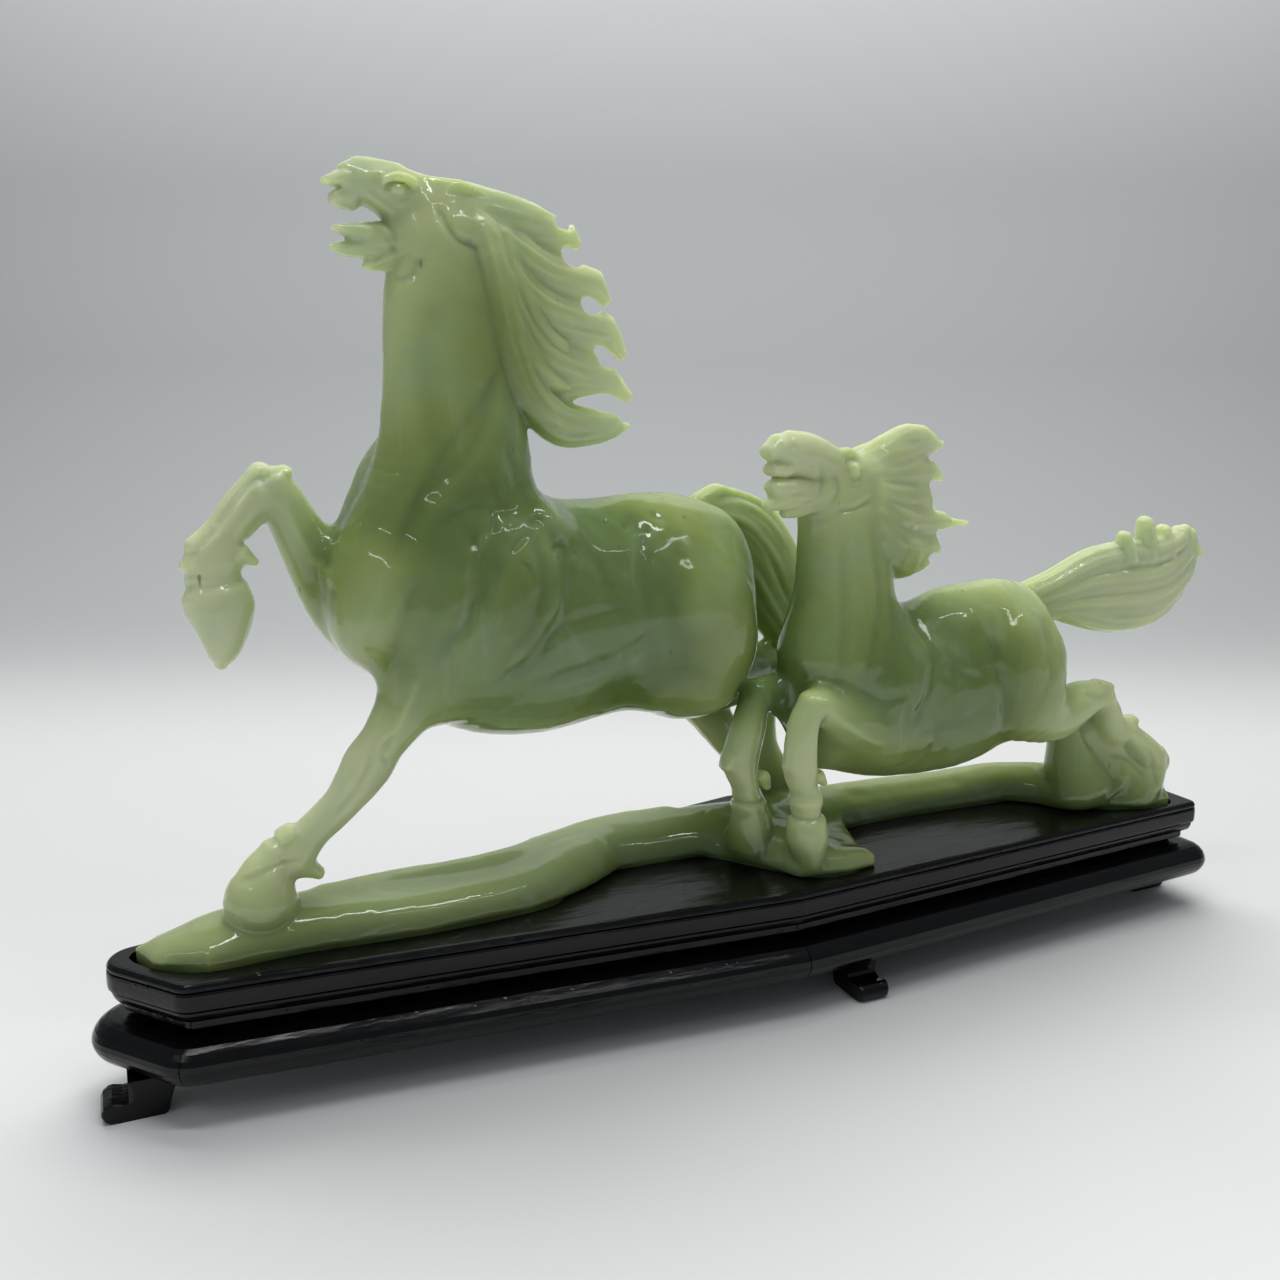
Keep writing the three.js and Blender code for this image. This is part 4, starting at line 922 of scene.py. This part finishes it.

# Each point of the skin carries the share of stone around it, within the depth that light reaches, and the
# colour turns it into painted glow on thin parts and painted shade on thick ones. The board under the
# carving counts as stone, because it gives no light back, so the stone next to it gets more painted shade.
THIN_CELL = 3
LIGHT_REACH = 16
BOARD_SHADE_SHARE = 0.6
filled = np.clip(0.5 - stone[::THIN_CELL, ::THIN_CELL, ::THIN_CELL] / (VOXEL * THIN_CELL), 0, 1)
# Painted shade: the cells below the board's top count as part stone, so the skin near the board comes out
# darker.
filled[:, :, axes[2][::THIN_CELL] < BOARD_TOP] = BOARD_SHADE_SHARE
reach_cells = round(LIGHT_REACH / VOXEL / THIN_CELL)
thick = spread(spread(filled, reach_cells), reach_cells)
spots = np.empty(len(jade_mesh.vertices) * 3, np.float32)
jade_mesh.vertices.foreach_get("co", spots)
depth = sample(thick, first, VOXEL * THIN_CELL, spots.reshape(-1, 3) / MM)
jade_mesh.attributes.new("stone_depth_for_painted_glow", "FLOAT", "POINT").data.foreach_set("value", depth.astype(np.float32))


def polished_serpentine():
    """New jade, a pale green serpentine, ground and waxed to a high polish.

    Light sinks in and scatters. On top of that the colour carries painted glow and painted shade: thin parts
    are painted a glowing yellow-green, thick parts a shaded deep olive, and the lowest part is painted darker
    where the black board takes its light. Bluish clouds and white veils drift through it, with a few brown
    specks, under a clear gloss that still ripples where the grinding wheel turned.
    """
    material, tree, shader = new_material("polished_serpentine")
    place = add_node(tree, "ShaderNodeTexCoord").outputs["Object"]
    depth = add_node(tree, "ShaderNodeAttribute", attribute_name="stone_depth_for_painted_glow").outputs["Fac"]
    # Painted glow and shade: the thinner the stone, the paler and brighter its colour; the thicker, the
    # darker.
    glow_shade_share = add_node(tree, "ShaderNodeMapRange", {"Value": depth, "From Min": 0.08, "From Max": 0.42})
    body = add_node(tree, "ShaderNodeValToRGB", {0: glow_shade_share.outputs[0]})
    glow_to_shade_stops = ((0.0, "#cfd5b0"), (0.3, "#c4cd9c"), (0.56, "#b8c48d"), (0.8, "#8f9e5c"), (1.0, "#6c8143"))
    ramp = body.color_ramp
    for position, colour in glow_to_shade_stops[1:-1]:
        ramp.elements.new(position).color = linear(colour)
    ramp.elements[0].color, ramp.elements[-1].color = linear(glow_to_shade_stops[0][1]), linear(glow_to_shade_stops[-1][1])
    clouds = add_node(tree, "ShaderNodeTexNoise", {
        "Vector": place, "Scale": 26, "Detail": 4, "Roughness": 0.55, "Distortion": 0.8})
    cloud = add_node(tree, "ShaderNodeMapRange", {
        "Value": clouds.outputs[0], "From Min": 0.46, "From Max": 0.72, "To Max": 0.34})
    misty = add_node(tree, "ShaderNodeMix", {
        0: cloud.outputs[0], 6: body.outputs[0], 7: linear("#92b18e")}, data_type="RGBA")
    slanted = add_node(tree, "ShaderNodeMapping", {
        "Vector": place, "Rotation": (0, 0.6, 0.3), "Scale": (2.2, 2.2, 0.7)})
    veils = add_node(tree, "ShaderNodeTexNoise", {
        "Vector": slanted.outputs[0], "Scale": 30, "Detail": 8, "Roughness": 0.6, "Distortion": 1.2})
    veil = add_node(tree, "ShaderNodeMapRange", {
        "Value": veils.outputs[0], "From Min": 0.56, "From Max": 0.8, "To Max": 0.22})
    milky = add_node(tree, "ShaderNodeMix", {
        0: veil.outputs[0], 6: misty.outputs[2], 7: linear("#ccd9be")}, data_type="RGBA")
    specks = add_node(tree, "ShaderNodeTexNoise", {"Vector": slanted.outputs[0], "Scale": 120, "Detail": 2})
    speck = add_node(tree, "ShaderNodeMapRange", {
        "Value": specks.outputs[0], "From Min": 0.75, "From Max": 0.79, "To Max": 0.55})
    stained = add_node(tree, "ShaderNodeMix", {
        0: speck.outputs[0], 6: milky.outputs[2], 7: linear("#4e4a2c")}, data_type="RGBA")
    # Painted shade: the stone is painted darker towards the board, up to 24 mm above it, where the board takes
    # its light.
    height = add_node(tree, "ShaderNodeSeparateXYZ", {0: place})
    board_shade_share = add_node(tree, "ShaderNodeMapRange", {
        "Value": height.outputs[2], "From Min": BOARD_TOP * MM, "From Max": (BOARD_TOP + 24) * MM,
        "To Min": 0.4, "To Max": 0.0})
    board_shaded = add_node(tree, "ShaderNodeMix", {
        0: board_shade_share.outputs[0], 6: stained.outputs[2], 7: linear("#5f6c4e")}, data_type="RGBA")
    tree.links.new(board_shaded.outputs[2], shader.inputs["Base Color"])
    shader.inputs["Subsurface Weight"].default_value = 1.0
    shader.inputs["Subsurface Radius"].default_value = (0.85, 1.0, 0.42)
    shader.inputs["Subsurface Scale"].default_value = 0.007
    shader.inputs["Roughness"].default_value = 0.09
    shader.inputs["IOR"].default_value = 1.56
    ripples = add_node(tree, "ShaderNodeTexNoise", {
        "Vector": place, "Scale": 85, "Detail": 1, "Distortion": 0.8})
    ground = add_node(tree, "ShaderNodeBump", {
        "Height": ripples.outputs[0], "Strength": 0.6, "Distance": 0.0009})
    polish = add_node(tree, "ShaderNodeTexNoise", {"Vector": place, "Scale": 260, "Detail": 2})
    skin = add_node(tree, "ShaderNodeBump", {
        "Height": polish.outputs[0], "Strength": 0.12, "Distance": 0.0003, "Normal": ground.outputs[0]})
    tree.links.new(skin.outputs[0], shader.inputs["Normal"])
    return material


add_piece("horse_and_foal", jade_mesh, polished_serpentine(), "jade", "carving", "jade_carving")

# ------------------------------------------------------------------ the floor, the light and the camera
# A seamless sheet of pale paper that runs back and curves up, lit by soft boxes above and behind and
# by narrow lamps in front, whose reflections draw the short white lines on the polish.


SWEEP_TURN = np.radians(23.7)


def paper_sweep():
    """A sheet whose side view runs flat, turns up through a quarter circle, and rises straight."""
    front, reach, bend, tall, half = -1.2, 0.78, 0.36, 1.9, 1.7
    turn = np.linspace(0, np.pi / 2, 25)
    flat = np.linspace(front, reach - bend, 12)[:-1]
    back = np.concatenate([flat, reach - bend + bend * np.sin(turn), [reach]])
    height = np.concatenate([np.zeros(len(flat)), bend - bend * np.cos(turn), [tall]])
    columns = 9
    across = np.linspace(-half, half, columns)
    grid = np.stack([np.broadcast_to(across[None, :], (len(back), columns)),
                     np.broadcast_to(back[:, None], (len(back), columns)),
                     np.broadcast_to(height[:, None], (len(back), columns))], -1)
    turned = grid.copy()
    turned[..., 0] = grid[..., 0] * np.cos(SWEEP_TURN) + grid[..., 1] * np.sin(SWEEP_TURN)
    turned[..., 1] = grid[..., 1] * np.cos(SWEEP_TURN) - grid[..., 0] * np.sin(SWEEP_TURN)
    i, j = np.arange(len(back) - 1)[:, None], np.arange(columns - 1)[None, :]
    here, ahead = i * columns + j, (i + 1) * columns + j
    quads = np.stack([here, here + 1, ahead + 1, ahead], -1).reshape(-1, 4)
    mesh = bpy.data.meshes.new("paper_sweep")
    mesh.from_pydata(turned.reshape(-1, 3), [], quads.tolist())
    mesh.polygons.foreach_set("use_smooth", np.ones(len(mesh.polygons), bool))
    return mesh


def pale_paper():
    """Matt backdrop paper with painted shade and light: white round the object, painted greyer towards the
    back of the floor and a darker grey where it turns up, and painted lighter again higher up the wall.
    """
    material, tree, shader = new_material("matt_backdrop_paper")
    place = add_node(tree, "ShaderNodeTexCoord").outputs["Object"]
    turned = add_node(tree, "ShaderNodeMapping", {"Vector": place, "Rotation": (0, 0, SWEEP_TURN)})
    back = add_node(tree, "ShaderNodeSeparateXYZ", {0: turned.outputs[0]})
    # Painted shade: from 0.2 m to 0.55 m back, the floor's tone gives way to the darker painted wall.
    wall_shade_share = add_node(tree, "ShaderNodeMapRange", {
        "Value": back.outputs[1], "From Min": 0.2, "From Max": 0.55}, interpolation_type="SMOOTHSTEP")
    # Painted light: the wall is painted lighter from 0.2 m to 0.55 m up.
    painted_wall_light_share = add_node(tree, "ShaderNodeMapRange", {"Value": back.outputs[2], "From Min": 0.2, "From Max": 0.55})
    painted_wall_shade = add_node(tree, "ShaderNodeMix", {
        0: painted_wall_light_share.outputs[0], 6: linear("#acaead"), 7: linear("#d4d5d4")}, data_type="RGBA")
    # Painted shade: the floor is painted greyer from 0.2 m in front of the middle to 0.05 m behind it.
    behind = add_node(tree, "ShaderNodeMapRange", {
        "Value": back.outputs[1], "From Min": -0.2, "From Max": 0.05})
    near = add_node(tree, "ShaderNodeMix", {
        0: behind.outputs[0], 6: linear("#e8e8e7"), 7: linear("#d3d3d2")}, data_type="RGBA")
    shade = add_node(tree, "ShaderNodeMix", {
        0: wall_shade_share.outputs[0], 6: near.outputs[2], 7: painted_wall_shade.outputs[2]}, data_type="RGBA")
    tree.links.new(shade.outputs[2], shader.inputs["Base Color"])
    shader.inputs["Roughness"].default_value = 0.75
    shader.inputs["Specular IOR Level"].default_value = 0.2
    return material


sweep_mesh = paper_sweep()
sweep_mesh.materials.append(pale_paper())
sweep = bpy.data.objects.new("paper_sweep", sweep_mesh)
bpy.context.scene.collection.objects.link(sweep)


def soft_box(name, place, aim, size, power, colour="#ffffff", mirrored=True):
    """A rectangular light at a place, turned so that its face looks at the aim, mirrored in gloss or not."""
    light = bpy.data.lights.new(name, "AREA")
    light.shape, light.size, light.size_y = "RECTANGLE", size[0], size[1]
    light.energy = power
    light.color = linear(colour)[:3]
    lamp = bpy.data.objects.new(name, light)
    lamp.location = place
    lamp.visible_glossy = mirrored
    way = Vector(aim) - Vector(place)
    lamp.rotation_euler = way.to_track_quat("-Z", "Y").to_euler()
    bpy.context.scene.collection.objects.link(lamp)


soft_box("back_panel", (0.18, 0.42, 1.1), (-0.06, -0.05, 0.0), (1.3, 0.6), 12.8, mirrored=False)
soft_box("top_strip", (-0.1, -0.24, 1.1), (0.0, 0.0, 0.1), (0.9, 0.09), 3.0)
soft_box("front_tube", (0.3, -0.55, 0.85), (0.0, 0.0, 0.12), (0.7, 0.02), 0.5)
soft_box("left_tube", (-0.75, -0.35, 0.8), (-0.05, 0.0, 0.12), (0.7, 0.02), 0.4)
soft_box("left_fill", (-1.1, -0.1, 0.6), (-0.1, 0.0, 0.1), (0.5, 0.7), 0.8, "#eef4ff", mirrored=False)

world = bpy.data.worlds.new("studio_air")
world.use_nodes = True
world.node_tree.nodes["Background"].inputs["Color"].default_value = linear("#d3dae2")
world.node_tree.nodes["Background"].inputs["Strength"].default_value = 0.31
bpy.context.scene.world = world
bpy.context.scene.view_settings.view_transform = "Standard"

camera_data = bpy.data.cameras.new("camera")
camera_data.lens, camera_data.sensor_width = 34.65, 36.0
camera = bpy.data.objects.new("camera", camera_data)
camera.location = (-0.1708, -0.3331, 0.1856)
camera.rotation_euler = np.radians([78.0, 0.0, -23.7])
bpy.context.scene.collection.objects.link(camera)
bpy.context.scene.camera = camera
